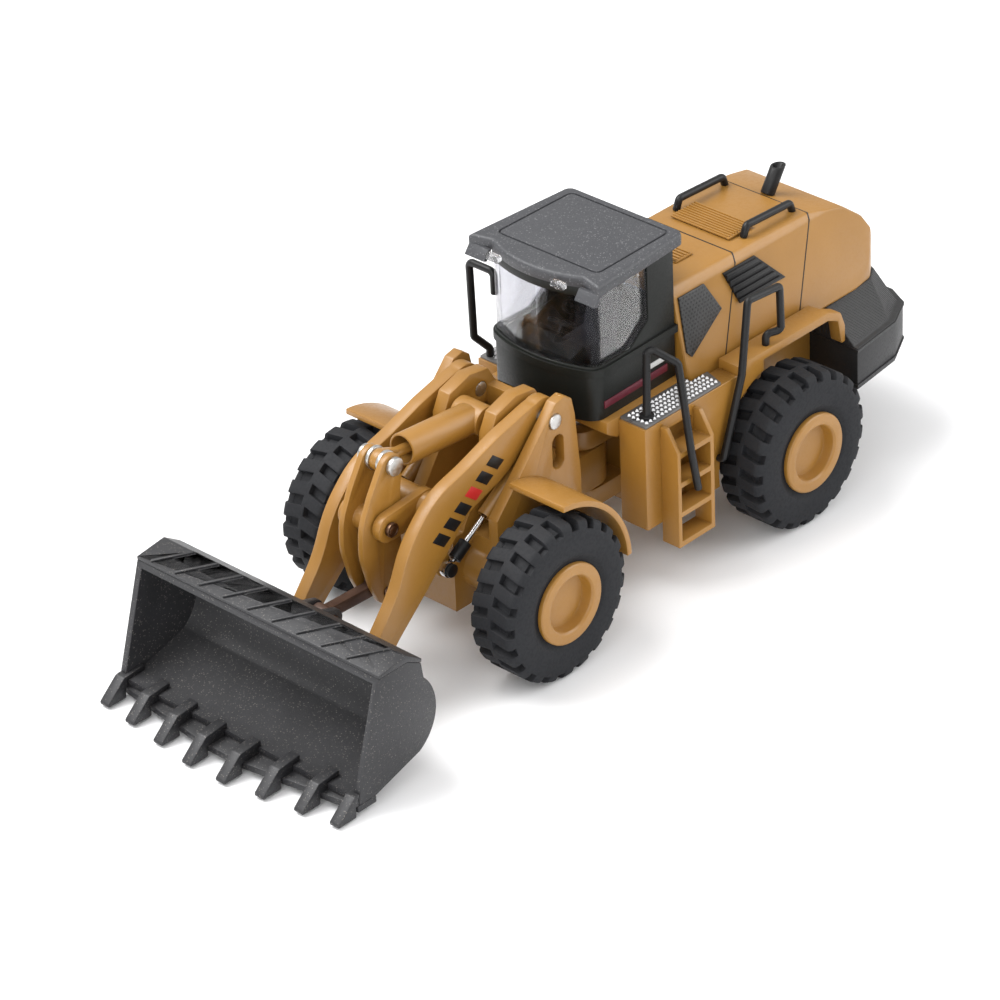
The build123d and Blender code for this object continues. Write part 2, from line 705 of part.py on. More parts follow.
cab_floor = floor_level + 1.6
with BuildPart() as driver_seat:
    with BuildSketch(side_plane(hinge_x, 3.6)) as seat_side:
        with BuildLine():
            Polyline((-1.0, cab_floor), (-9.0, cab_floor), (-9.0, 45.4), (-11.4, 55.6), (-9.6, 56.4),
                     (-7.0, 47.6), (0.4, 47.2), (0.8, 45.4), (-1.0, 44.4), close=True)
        make_face()
    extrude(amount=7.2)
    with BuildSketch(side_plane(hinge_x, 2.2)):
        with BuildLine():
            Polyline((-11.3, 55.0), (-12.2, 59.2), (-10.8, 59.8), (-9.8, 55.6), close=True)
        make_face()
    extrude(amount=4.4)
driver_seat.part.label = "driver_seat"
export_step(driver_seat.part, "parts/driver_seat.step")

wheel_lean = 28.0
column_dir = (-sin(radians(wheel_lean)), 0, cos(radians(wheel_lean)))
column_foot = (hinge_x + 4.2, 0, 50.4)
wheel_centre = tuple(foot + 3.0 * step for foot, step in zip(column_foot, column_dir))
with BuildPart() as dashboard:
    with BuildSketch(side_plane(hinge_x, 7.5)):
        with BuildLine():
            Polyline((8.6, cab_floor), (5.4, cab_floor), (5.0, 46.0), (3.6, 49.8), (4.6, 51.4), (8.6, 50.2),
                     close=True)
        make_face()
    extrude(amount=15.0)
    with BuildSketch(Plane(origin=column_foot, x_dir=(0, 1, 0), z_dir=column_dir)):
        Circle(0.5)
    extrude(amount=3.1)
    with BuildSketch(Plane(origin=wheel_centre, x_dir=(0, 1, 0), z_dir=column_dir)):
        Circle(3.0)
        Circle(2.3, mode=Mode.SUBTRACT)
        Rectangle(5.0, 0.8)
        Circle(0.9)
    extrude(amount=0.6)
dashboard.part.label = "dashboard"
export_step(dashboard.part, "parts/dashboard.step")

# ---- hand rails of the rear half ----------------------------------------------------------------------------
def at_hitch(points, side=1):
    """Points given from the hitch, moved to their place and to one side."""
    return [(hinge_x + x, side * y, z) for x, y, z in points]


rear_rail_route = [
    (-34.2, 21.0, shelf_top), (-34.2, 21.0, 41.8), (-37.6, 22.2, 41.8), (-37.0, 22.4, 52.2),
    (-26.8, 22.8, 53.4), (-23.6, 23.8, 38.2), (-17.6, 23.8, 21.3), (-17.6, 22.5, 21.3),
]
front_rail_route = [
    (0.6, 20.0, shelf_bottom + plate_thickness), (0.2, 20.0, 54.0), (-3.4, 25.0, 50.4),
    (-3.4, 28.0, 31.0), (-5.2, 28.0, 22.0),
]
mirror_bar_route = [
    (2.4, 20.6, shelf_bottom + plate_thickness), (2.4, 20.6, 39.8), (5.8, 21.6, 43.6), (6.2, 21.6, 61.0), (6.2, 14.9, 61.0),
    (6.2, 14.9, 56.0),
]
with BuildPart() as rear_step_rails:
    for shape in both_sides(bent_tube(at_hitch(rear_rail_route), rail_radius, [1.0, 1.0, 1.0, 1.0, 1.0, 0.9])):
        add(shape)
rear_step_rails.part.label = "rear_step_rails"
export_step(rear_step_rails.part, "parts/rear_step_rails.step")
with BuildPart() as front_step_rail:
    add(bent_tube(at_hitch(front_rail_route), rail_radius, 1.2))
    with BuildSketch(level_plane(hinge_x, shelf_bottom + plate_thickness)):
        with Locations((0.6, 20.0)):
            Circle(1.5)
    extrude(amount=0.8)
front_step_rail.part.label = "front_step_rail"
export_step(front_step_rail.part, "parts/front_step_rail.step")
with BuildPart() as mirror_bar:
    add(bent_tube(at_hitch(mirror_bar_route, -1), rail_radius, 1.2))
mirror_bar.part.label = "mirror_bar"
export_step(mirror_bar.part, "parts/mirror_bar.step")

# ---- front frame ----------------------------------------------------------------------------------------------
box_half = inner_plate[1]
front_box_back = hinge_to_axle - 24.0  # gap between the hitch and the front box
tower_foot = 20.0
slot_width = 3.2
tongue_levels = (hitch_levels[1] + 0.3, hitch_levels[2] - 0.3)
inner_outline = [
    (-19.5, 24.0), (-19.5, 44.6), (-17.2, 48.6), (-12.0, 49.4), (-6.2, 47.6), (-4.2, 43.6), (-3.4, 38.0),
    (3.6, 28.0), (5.6, 24.0),
]
tower_outline = [
    (-22.0, tower_foot), (-22.0, 30.0), (-20.8, 44.2), (-20.0, 47.8), (-18.0, 49.2), (-15.4, 48.6),
    (-13.4, 46.4), (2.2, 30.0), (2.2, tower_foot),
]
with BuildPart() as front_chassis:
    add(box_between((hinge_x + front_box_back, front_x + 7.5), (-box_half, box_half), (belly, 26.0)))
    add(box_between((front_x - 22.0, front_x + 2.2), (-tower_plate[1], tower_plate[1]), (16.0, 25.0)))
    with BuildSketch(level_plane(hinge_x, tongue_levels[0])):
        Circle(hitch_radius)
        with Locations(((front_box_back + 1) / 2, 0)):
            Rectangle(front_box_back + 1, 2 * hitch_radius)
    extrude(amount=tongue_levels[1] - tongue_levels[0])
    with BuildSketch(level_plane(hinge_x, tongue_levels[0])):
        Circle(hitch_pin_radius + running_clearance)
    extrude(amount=tongue_levels[1] - tongue_levels[0], mode=Mode.SUBTRACT)
    for shape in both_sides(
        side_plate(front_x, inner_outline, inner_plate,
                   [(arm_pivot, arm_pin_radius), (lift_base, small_pin_radius), (tilt_base, link_pin_radius)])
    ):
        add(shape)
    for shape in both_sides(side_plate(front_x, tower_outline, tower_plate, [(arm_pivot, arm_pin_radius)])):
        add(shape)
    with BuildSketch(side_plane(front_x, tower_plate[1] + 1)):
        with Locations((-15.7, 37.6)):
            SlotOverall(7.6, slot_width, rotation=90)
    extrude(amount=2 * tower_plate[1] + 2, mode=Mode.SUBTRACT)
    add(box_between((front_x - 19.5, front_x - 17.0), (-inner_plate[1], inner_plate[1]), (24.0, 45.0)))
    add(cross_pin(front_x, (0, tyre_radius), (-tunnel_end, tunnel_end), tunnel_radius))
    with BuildSketch(side_plane(front_x, tunnel_end)):
        with Locations((0, tyre_radius)):
            Circle(axle_radius + running_clearance)
    extrude(amount=2 * tunnel_end, mode=Mode.SUBTRACT)
front_chassis.part.label = "front_chassis"
export_step(front_chassis.part, "parts/front_chassis.step")

fender_inner_radius = tyre_radius + 2.1
fender_thickness = 1.3
fender_outer = 29.4
fender_start = 94.0
fender_sweep = 84.0
with BuildPart() as front_fender_left:
    with BuildSketch(side_plane(front_x, fender_outer)):
        with BuildLine():
            low = CenterArc((0, tyre_radius), fender_inner_radius, fender_start, fender_sweep)
            high = CenterArc((0, tyre_radius), fender_inner_radius + fender_thickness, fender_start, fender_sweep)
            Line(low @ 0, high @ 0)
            Line(low @ 1, high @ 1)
        make_face()
    extrude(amount=fender_outer - tower_plate[1])
with BuildPart() as front_fenders:
    for shape in both_sides(front_fender_left.part):
        add(shape)
front_fenders.part.label = "front_fenders"
export_step(front_fenders.part, "parts/front_fenders.step")

with BuildPart() as arm_pivot_pins:
    for shape in both_sides(cross_pin(front_x, arm_pivot, (inner_plate[0], tower_plate[1] + 0.4), arm_pin_radius)):
        add(shape)
arm_pivot_pins.part.label = "arm_pivot_pins"
export_step(arm_pivot_pins.part, "parts/arm_pivot_pins.step")

with BuildPart() as cylinder_base_pins:
    for shape in both_sides(cross_pin(front_x, lift_base, (inner_plate[0], tower_plate[0] - 0.1), small_pin_radius)):
        add(shape)
    add(cross_pin(front_x, tilt_base, (-inner_plate[1] - 0.3, inner_plate[1] + 0.3), link_pin_radius))
cylinder_base_pins.part.label = "cylinder_base_pins"
export_step(cylinder_base_pins.part, "parts/cylinder_base_pins.step")

# ---- lift arms and their cross tube ---------------------------------------------------------------------------
arm_boss_radius = 4.0
arm_tip_radius = 3.1
to_bucket = bucket_pivot[0] - 35.0  # how far the bucket end moves when the reach changes
arm_outline = [
    (-12.6, 48.4), (-2.5, 45.9), (6.1, 42.9), (15.4, 40.4), (23.1, 33.0), (27.0 + to_bucket, 24.0),
    (33.2 + to_bucket, 16.4), (bucket_pivot[0] + 2.8, 10.2), (bucket_pivot[0] - 1.6, 6.0),
    (28.4 + to_bucket, 13.0), (19.0, 21.2), (11.3, 28.4), (7.0, 32.9), (-4.6, 36.6), (-11.0, 41.6),
    (-15.0, 42.0), (-17.0, 46.0), (-15.0, 48.4),
]
rod_lug = (arm_inner, arm_inner + 0.9)
rod_eye_range = (cylinder_y - 0.6, cylinder_y + 0.8)
for side_name, side in (("left", 1), ("right", -1)):
    arm_faces = (arm_inner, arm_outer) if side > 0 else (-arm_outer, -arm_inner)
    lug_faces = rod_lug if side > 0 else (-rod_lug[1], -rod_lug[0])
    with BuildPart() as lift_arm:
        add(side_plate(front_x, arm_outline, arm_faces, largest_arc=25.0))
        add(cross_pin(front_x, arm_pivot, arm_faces, arm_boss_radius))
        add(cross_pin(front_x, bucket_pivot, arm_faces, arm_tip_radius))
        add(link_plate(front_x, lift_eye, (14.6, 28.6), 2.1, 2.6, lug_faces))
        for centre, radius in (
            (arm_pivot, arm_pin_radius + running_clearance),
            (bucket_pivot, link_pin_radius + running_clearance),
            (lift_eye, small_pin_radius),
        ):
            add(cross_pin(front_x, centre, arm_faces, radius), mode=Mode.SUBTRACT)
    lift_arm.part.label = f"lift_arm_{side_name}"
    export_step(lift_arm.part, f"parts/lift_arm_{side_name}.step")

with BuildPart() as arm_cross_tube:
    add(cross_pin(front_x, cross_tube_at, (-arm_inner, arm_inner), 2.9))
    for shape in both_sides(link_plate(front_x, cross_tube_at, crank_pivot, 3.3, 3.0, crank_lug)):
        add(shape)
    add(cross_pin(front_x, crank_pivot, (-crank_lug[1], crank_lug[1]), link_pin_radius), mode=Mode.SUBTRACT)
arm_cross_tube.part.label = "arm_cross_tube"
export_step(arm_cross_tube.part, "parts/arm_cross_tube.step")

with BuildPart() as crank_pin:
    add(cross_pin(front_x, crank_pivot, (-crank_lug[1] - 0.3, crank_lug[1] + 0.3), link_pin_radius))
crank_pin.part.label = "crank_pin"
export_step(crank_pin.part, "parts/crank_pin.step")

with BuildPart() as rod_eye_pins:
    for shape in both_sides(cross_pin(front_x, lift_eye, (arm_inner, rod_eye_range[1] + 0.2), small_pin_radius)):
        add(shape)
    for shape in both_sides(cross_pin(front_x, lift_eye, (rod_eye_range[1] + 0.2, rod_eye_range[1] + 0.8), 1.4)):
        add(shape)
rod_eye_pins.part.label = "rod_eye_pins"
export_step(rod_eye_pins.part, "parts/rod_eye_pins.step")

# ---- bell crank and bucket link ---------------------------------------------------------------------------------
crank_outline = [
    (15.7, 45.6), (16.4, 47.7), (18.3, 48.6), (20.6, 47.8), (24.5, 41.4), (27.3, 35.5), (27.6, 29.0), (25.6, 21.4),
    (23.6, 17.0), (21.4, 16.4), (19.2, 17.6), (17.4, 21.4), (16.8, 26.0), (17.2, 32.0), (16.4, 40.0),
]
turning = link_pin_radius + running_clearance
with BuildPart() as bell_crank:
    for shape in both_sides(
        side_plate(front_x, crank_outline, crank_plate, [(tilt_eye, turning), (crank_foot, link_pin_radius)], 12.0)
    ):
        add(shape)
    add(cross_pin(front_x, crank_pivot, (-crank_plate[1], crank_plate[1]), 2.6))
    add(cross_pin(front_x, crank_pivot, (-crank_plate[1], crank_plate[1]), turning), mode=Mode.SUBTRACT)
bell_crank.part.label = "bell_crank"
export_step(bell_crank.part, "parts/bell_crank.step")

with BuildPart() as crank_foot_pins:
    for shape in both_sides(cross_pin(front_x, crank_foot, (crank_plate[0], crank_plate[1] + 0.3), link_pin_radius)):
        add(shape)
crank_foot_pins.part.label = "crank_foot_pins"
export_step(crank_foot_pins.part, "parts/crank_foot_pins.step")

with BuildPart() as bucket_link:
    eye_faces = (-eye_half_width, eye_half_width)
    add(cross_pin(front_x, crank_foot, eye_faces, 2.0))
    add(cross_pin(front_x, link_lug, eye_faces, 2.0))
    add(link_plate(front_x, crank_foot, link_lug, 1.25, 1.25, (-1.1, 1.1)))
    add(cross_pin(front_x, link_lug, eye_faces, turning), mode=Mode.SUBTRACT)
bucket_link.part.label = "bucket_link"
export_step(bucket_link.part, "parts/bucket_link.step")

# ---- cylinders ----------------------------------------------------------------------------------------------------
tilt_length = hypot(tilt_eye[0] - tilt_base[0], tilt_eye[1] - tilt_base[1])
with BuildPart() as tilt_barrel:
    add(bar_between(front_x, 0, tilt_base, tilt_eye, tilt_barrel_radius, 1.6, tilt_gap))
    add(bar_between(front_x, 0, tilt_base, tilt_eye, tilt_bore_radius, 5.0, 0), mode=Mode.SUBTRACT)
    add(cross_pin(front_x, tilt_base, (-3.6, 3.6), 3.2))
    add(cross_pin(front_x, tilt_base, (-3.6, 3.6), turning), mode=Mode.SUBTRACT)
tilt_barrel.part.label = "tilt_barrel"
export_step(tilt_barrel.part, "parts/tilt_barrel.step")

neck_reach = tilt_collar_radius + 1.2  # from the eye's pin to where its flat neck becomes round
neck = tuple(tilt_eye[i] + (tilt_base[i] - tilt_eye[i]) * neck_reach / tilt_length for i in (0, 1))
eye_sides = (-tilt_eye_half_width, tilt_eye_half_width)
with BuildPart() as tilt_rod:
    add(bar_between(front_x, 0, tilt_base, tilt_eye, tilt_rod_radius, 9.0, tilt_collar_radius + 0.2))
    add(link_plate(front_x, tilt_eye, neck, 2.2, tilt_rod_radius, eye_sides))
    add(cross_pin(front_x, tilt_eye, eye_sides, turning), mode=Mode.SUBTRACT)
tilt_rod.part.label = "tilt_rod"
export_step(tilt_rod.part, "parts/tilt_rod.step")

with BuildPart() as tilt_eye_pin:
    head_faces = (crank_plate[1] + side_play, crank_plate[1] + side_play + tilt_head_thickness)
    collar_faces = (tilt_eye_half_width + side_play, crank_plate[0] - side_play)
    add(cross_pin(front_x, tilt_eye, (-head_faces[0], head_faces[0]), link_pin_radius))
    for shape in both_sides(cross_pin(front_x, tilt_eye, head_faces, tilt_head_radius)):
        add(shape)
    for shape in both_sides(cross_pin(front_x, tilt_eye, collar_faces, tilt_collar_radius)):
        add(shape)
tilt_eye_pin.part.label = "tilt_eye_pin"
export_step(tilt_eye_pin.part, "parts/tilt_eye_pin.step")

barrel_end = 17.5  # from the base pivot to the mouth of a lift cylinder's barrel
lift_length = hypot(lift_eye[0] - lift_base[0], lift_eye[1] - lift_base[1])
for side_name, side in (("left", 1), ("right", -1)):
    middle = side * cylinder_y
    knuckle = (middle - 1.5, middle + 1.5)
    eye = rod_eye_range if side > 0 else (-rod_eye_range[1], -rod_eye_range[0])
    with BuildPart() as lift_barrel:
        add(bar_between(front_x, middle, lift_base, lift_eye, lift_barrel_radius, 1.0, lift_length - barrel_end))
        add(bar_between(front_x, middle, lift_base, lift_eye, lift_bore_radius, 3.6, 0), mode=Mode.SUBTRACT)
        add(cross_pin(front_x, lift_base, knuckle, 1.75))
        add(cross_pin(front_x, lift_base, knuckle, small_pin_radius + running_clearance), mode=Mode.SUBTRACT)
    lift_barrel.part.label = f"lift_barrel_{side_name}"
    export_step(lift_barrel.part, f"parts/lift_barrel_{side_name}.step")
    with BuildPart() as lift_rod:
        add(bar_between(front_x, middle, lift_base, lift_eye, lift_rod_radius, 8.0, 1.2))
        add(cross_pin(front_x, lift_eye, eye, 1.7))
        add(cross_pin(front_x, lift_eye, eye, small_pin_radius + running_clearance), mode=Mode.SUBTRACT)
    lift_rod.part.label = f"lift_rod_{side_name}"
    export_step(lift_rod.part, f"parts/lift_rod_{side_name}.step")

# ---- bucket: outlines are given from the middle tooth tips, on the ground -----------------------------------------
skin = 1.4
side_wall = 1.5
half_bucket = bucket_width / 2
floor_front = -9.5
lip = (-16.5, 27.4)
nose_setback = 3.9  # how far the corner teeth stand behind the middle ones
edge_thickness = 1.5
edge_level = 1.1
pin_at = (-35.0, bucket_pivot[1])
link_at = (-33.8, link_lug[1])
arm_lugs = ((arm_inner - 1.85, arm_inner - 0.3), (arm_outer + 0.3, arm_outer + 1.85))
with BuildPart() as bucket_shell:
    with BuildSketch(side_plane(bucket_x, half_bucket)):
        with BuildLine():
            Polyline((-26.1, 6.2), (-14.0, edge_level + edge_thickness), (floor_front, edge_level + edge_thickness),
                     (floor_front, 4.1), lip, (-24.0, lip[1]), (-27.7, 25.4), (-28.2, 21.9))
            ThreePointArc((-28.2, 21.9), (-31.1, 14.5), (-26.1, 6.2))
        make_face()
    extrude(amount=bucket_width)
    for lug in arm_lugs:
        for shape in both_sides(link_plate(bucket_x, pin_at, (-28.0, 11.5), 2.9, 4.2, lug)):
            add(shape)
    for shape in both_sides(link_plate(bucket_x, link_at, (-28.4, 20.0), 2.3, 3.6, crank_plate)):
        add(shape)
    with BuildSketch(side_plane(bucket_x, half_bucket - side_wall)):
        with BuildLine():
            Polyline((-25.4, 7.5), (-13.8, 4.1), (2.0, 4.1), (2.0, 26.0), (-23.6, 26.0), (-26.4, 24.6),
                     (-26.9, 21.6))
            ThreePointArc((-26.9, 21.6), (-29.7, 14.5), (-25.4, 7.5))
        make_face()
    extrude(amount=bucket_width - 2 * side_wall, mode=Mode.SUBTRACT)
    for lug in arm_lugs:
        for faces in (lug, (-lug[1], -lug[0])):
            add(cross_pin(bucket_x, pin_at, faces, link_pin_radius), mode=Mode.SUBTRACT)
    add(cross_pin(bucket_x, link_at, (-crank_plate[1], crank_plate[1]), link_pin_radius), mode=Mode.SUBTRACT)
bucket_shell.part.label = "bucket_shell"
export_step(bucket_shell.part, "parts/bucket_shell.step")

with BuildPart() as cutting_edge:
    with BuildSketch(level_plane(bucket_x, edge_level)):
        with BuildLine():
            Polyline((-14.0, half_bucket), (-5.2 - nose_setback, half_bucket), (-5.2, 4.6), (-5.2, -4.6),
                     (-5.2 - nose_setback, -half_bucket), (-14.0, -half_bucket), close=True)
        make_face()
    extrude(amount=edge_thickness)
cutting_edge.part.label = "cutting_edge"
export_step(cutting_edge.part, "parts/cutting_edge.step")

tooth_count = 8
tooth_half_width = 1.25
tooth_pitch = (bucket_width - 0.7) / (tooth_count - 1)
with BuildPart() as bucket_teeth:
    for index in range(tooth_count):
        tooth_y = (index - (tooth_count - 1) / 2) * tooth_pitch
        tooth_y = max(-half_bucket + tooth_half_width, min(half_bucket - tooth_half_width, tooth_y))
        back = nose_setback * max(0.0, abs(tooth_y) - 4.6) / (half_bucket - 4.6)
        with BuildSketch(side_plane(bucket_x, tooth_y + tooth_half_width)):
            with BuildLine():
                Polyline((-back, 0.3), (-back, 1.0), (-4.6 - back, 4.9), (-10.2 - back, 5.4),
                         (-10.2 - back, 4.15), (floor_front + 0.1, 4.15),
                         (floor_front + 0.1, edge_level + edge_thickness),
                         (-4.9 - back, edge_level + edge_thickness), (-4.9 - back, 0.3), close=True)
            make_face()
        extrude(amount=2 * tooth_half_width)
    add(bucket_shell.part, mode=Mode.SUBTRACT)
bucket_teeth.part.label = "bucket_teeth"
export_step(bucket_teeth.part, "parts/bucket_teeth.step")

rib_count = 9
rib_turn = 38.0
with BuildPart() as spill_guard:
    with BuildSketch(side_plane(bucket_x, half_bucket)):
        with BuildLine():
            Polyline(lip, (lip[0], lip[1] + 0.7), (-23.8, 29.0), (-27.9, 26.3), (-27.7, 25.5), (-24.0, lip[1]),
                     close=True)
        make_face()
    extrude(amount=bucket_width)
    slope = Plane(origin=(bucket_x - 20.15, 0, 28.55), x_dir=(0, 1, 0), z_dir=(0.12, 0, 0.99))
    with BuildSketch(slope):
        with GridLocations(6.6, 1, rib_count, 1):
            Rectangle(8.6, 0.6, rotation=90 - rib_turn)
    extrude(amount=0.5)
spill_guard.part.label = "spill_guard"
export_step(spill_guard.part, "parts/spill_guard.step")

with BuildPart() as bucket_pins:
    for shape in both_sides(cross_pin(bucket_x, pin_at, (arm_lugs[0][0] - 0.3, arm_lugs[1][1] + 0.3), link_pin_radius)):
        add(shape)
    add(cross_pin(bucket_x, link_at, (-crank_plate[1] - 0.3, crank_plate[1] + 0.3), link_pin_radius))
bucket_pins.part.label = "bucket_pins"
export_step(bucket_pins.part, "parts/bucket_pins.step")
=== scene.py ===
"""Toy articulated front loader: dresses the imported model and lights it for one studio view."""
import json
import logging
import math
from dataclasses import dataclass
from enum import Enum
from typing import Callable, Optional, Sequence

import bpy
from mathutils import Matrix, Vector

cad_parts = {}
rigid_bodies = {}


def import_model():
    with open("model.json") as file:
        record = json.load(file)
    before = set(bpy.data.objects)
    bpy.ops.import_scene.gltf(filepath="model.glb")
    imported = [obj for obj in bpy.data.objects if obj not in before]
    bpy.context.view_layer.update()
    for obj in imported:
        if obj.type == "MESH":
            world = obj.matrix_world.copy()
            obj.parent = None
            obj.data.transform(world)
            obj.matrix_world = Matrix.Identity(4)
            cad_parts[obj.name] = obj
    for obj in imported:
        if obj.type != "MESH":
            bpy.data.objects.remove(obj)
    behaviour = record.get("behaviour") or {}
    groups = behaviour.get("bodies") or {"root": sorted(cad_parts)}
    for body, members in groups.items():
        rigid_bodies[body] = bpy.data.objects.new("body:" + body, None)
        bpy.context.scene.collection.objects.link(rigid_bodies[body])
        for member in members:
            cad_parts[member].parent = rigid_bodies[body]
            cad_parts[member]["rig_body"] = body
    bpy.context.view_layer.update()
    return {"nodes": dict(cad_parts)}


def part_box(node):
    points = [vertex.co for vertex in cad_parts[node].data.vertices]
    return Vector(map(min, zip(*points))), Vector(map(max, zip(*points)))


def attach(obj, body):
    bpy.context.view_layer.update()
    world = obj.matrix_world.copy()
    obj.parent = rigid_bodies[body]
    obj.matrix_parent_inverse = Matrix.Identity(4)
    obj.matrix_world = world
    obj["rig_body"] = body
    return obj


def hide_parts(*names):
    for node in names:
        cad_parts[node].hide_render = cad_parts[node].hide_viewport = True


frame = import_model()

LOG = logging.getLogger("loader")
MM = 0.001
MERGE_DISTANCE = 0.002 * MM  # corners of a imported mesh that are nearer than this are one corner
FLAT_ANGLE = math.radians(0.4)  # faces that meet at less than this are one face
WIDE_GRAIN = 0.22  # scale of the wide grain as a share of the fine one
FLECK_SIZE = 0.42  # radius of a fleck as a share of its cell
PATTERN_SHIFT = 500.0  # whole steps added so that a repeating pattern never counts below zero
Point = tuple[float, float, float]
Colour = tuple[float, float, float]


class Body(str, Enum):
    """The bodies that the added pieces ride on."""

    REAR = "rear_frame"
    REAR_WHEELS = "rear_wheels"
    FRONT_WHEELS = "front_wheels"
    ARMS = "lift_arms"
    LEFT_ROD = "lift_rod_left"
    RIGHT_ROD = "lift_rod_right"


class Side(Enum):
    """Left and right of the middle plane, as the sign of Y."""

    LEFT = 1
    RIGHT = -1


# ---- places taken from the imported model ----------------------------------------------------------


def middle(node: str) -> Vector:
    """Middle of a CAD node's box, in metres."""
    low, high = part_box(node)
    return (low + high) / 2


FRONT_AXLE = middle("front_axle")
HITCH = middle("hitch_pin")


# ---- node groups shared by the finishes ----------------------------------------------------------


class Graph:
    """Small helper that adds and links shader nodes in one tree."""

    def __init__(self, tree: bpy.types.NodeTree) -> None:
        """Keep the tree that nodes are added to."""
        self.tree = tree

    def add(self, kind: str, **values: object) -> bpy.types.Node:
        """Add a node and set its inputs or properties.

        Args:
            kind: the node's type name.
            values: socket values, with spaces in a socket's name written as underscores, or node properties.

        Returns:
            The new node.
        """
        node = self.tree.nodes.new(kind)
        for name, value in values.items():
            label = name.replace("_", " ")
            if label in node.inputs:
                node.inputs[label].default_value = value
            else:
                setattr(node, name, value)
        return node

    def link(self, source: bpy.types.NodeSocket, target: bpy.types.NodeSocket) -> None:
        """Join two sockets."""
        self.tree.links.new(source, target)

    def math(self, operation: str, first: object, second: object = 0.0) -> bpy.types.NodeSocket:
        """Add a maths node fed by sockets or numbers and return its output."""
        node = self.tree.nodes.new("ShaderNodeMath")
        node.operation = operation
        for index, value in enumerate((first, second)):
            if isinstance(value, bpy.types.NodeSocket):
                self.link(value, node.inputs[index])
            else:
                node.inputs[index].default_value = float(value)
        return node.outputs[0]


def new_group(
    name: str, inputs: dict[str, tuple[str, object]], outputs: dict[str, str]
) -> tuple[Graph, bpy.types.Node, bpy.types.Node]:
    """Make an empty shader group with named sockets.

    Args:
        name: the group's name.
        inputs: socket name to (socket type, default value).
        outputs: socket name to socket type.

    Returns:
        The graph, the group's input node and its output node.
    """
    tree = bpy.data.node_groups.new(name, "ShaderNodeTree")
    for label, (kind, value) in inputs.items():
        socket = tree.interface.new_socket(label, in_out="INPUT", socket_type=kind)
        socket.default_value = value
    for label, kind in outputs.items():
        tree.interface.new_socket(label, in_out="OUTPUT", socket_type=kind)
    graph = Graph(tree)
    return graph, tree.nodes.new("NodeGroupInput"), tree.nodes.new("NodeGroupOutput")


def make_mottle_group() -> bpy.types.NodeTree:
    """Slow cloudy colour change, as of enamel or rubber that isn't quite even.

    Returns:
        The group, with outputs Color and Mask.
    """
    graph, given, out = new_group(
        "mottle",
        {
            "Color": ("NodeSocketColor", (0.5, 0.5, 0.5, 1)),
            "Second": ("NodeSocketColor", (0.4, 0.4, 0.4, 1)),
            "Scale": ("NodeSocketFloat", 90.0),
            "Amount": ("NodeSocketFloat", 0.5),
        },
        {"Color": "NodeSocketColor", "Mask": "NodeSocketFloat"},
    )
    place = graph.add("ShaderNodeTexCoord")
    noise = graph.add("ShaderNodeTexNoise", Detail=4.0, Roughness=0.55)
    graph.link(place.outputs["Object"], noise.inputs["Vector"])
    graph.link(given.outputs["Scale"], noise.inputs["Scale"])
    ramp = graph.add("ShaderNodeMapRange", From_Min=0.35, From_Max=0.65)
    graph.link(noise.outputs["Fac"], ramp.inputs["Value"])
    mask = graph.math("MULTIPLY", ramp.outputs["Result"], given.outputs["Amount"])
    mix = graph.add("ShaderNodeMix", data_type="RGBA")
    graph.link(mask, mix.inputs["Factor"])
    graph.link(given.outputs["Color"], mix.inputs[6])
    graph.link(given.outputs["Second"], mix.inputs[7])
    graph.link(mix.outputs[2], out.inputs["Color"])
    graph.link(mask, out.inputs["Mask"])
    return graph.tree


def make_grain_group() -> bpy.types.NodeTree:
    """Fine skin of moulded plastic, sprayed paint or cast metal.

    Returns:
        The group, with outputs Height and Mask.
    """
    graph, given, out = new_group(
        "grain",
        {
            "Scale": ("NodeSocketFloat", 2500.0),
            "Coarse": ("NodeSocketFloat", 0.3),
        },
        {"Height": "NodeSocketFloat", "Mask": "NodeSocketFloat"},
    )
    place = graph.add("ShaderNodeTexCoord")
    fine = graph.add("ShaderNodeTexNoise", Detail=2.0, Roughness=0.5)
    graph.link(place.outputs["Object"], fine.inputs["Vector"])
    graph.link(given.outputs["Scale"], fine.inputs["Scale"])
    wide = graph.add("ShaderNodeTexNoise", Detail=2.0, Roughness=0.5)
    graph.link(place.outputs["Object"], wide.inputs["Vector"])
    graph.link(graph.math("MULTIPLY", given.outputs["Scale"], WIDE_GRAIN), wide.inputs["Scale"])
    coarse = graph.math("MULTIPLY", wide.outputs["Fac"], given.outputs["Coarse"])
    graph.link(graph.math("ADD", fine.outputs["Fac"], coarse), out.inputs["Height"])
    ramp = graph.add("ShaderNodeMapRange", From_Min=0.45, From_Max=0.62)
    graph.link(fine.outputs["Fac"], ramp.inputs["Value"])
    graph.link(ramp.outputs["Result"], out.inputs["Mask"])
    return graph.tree


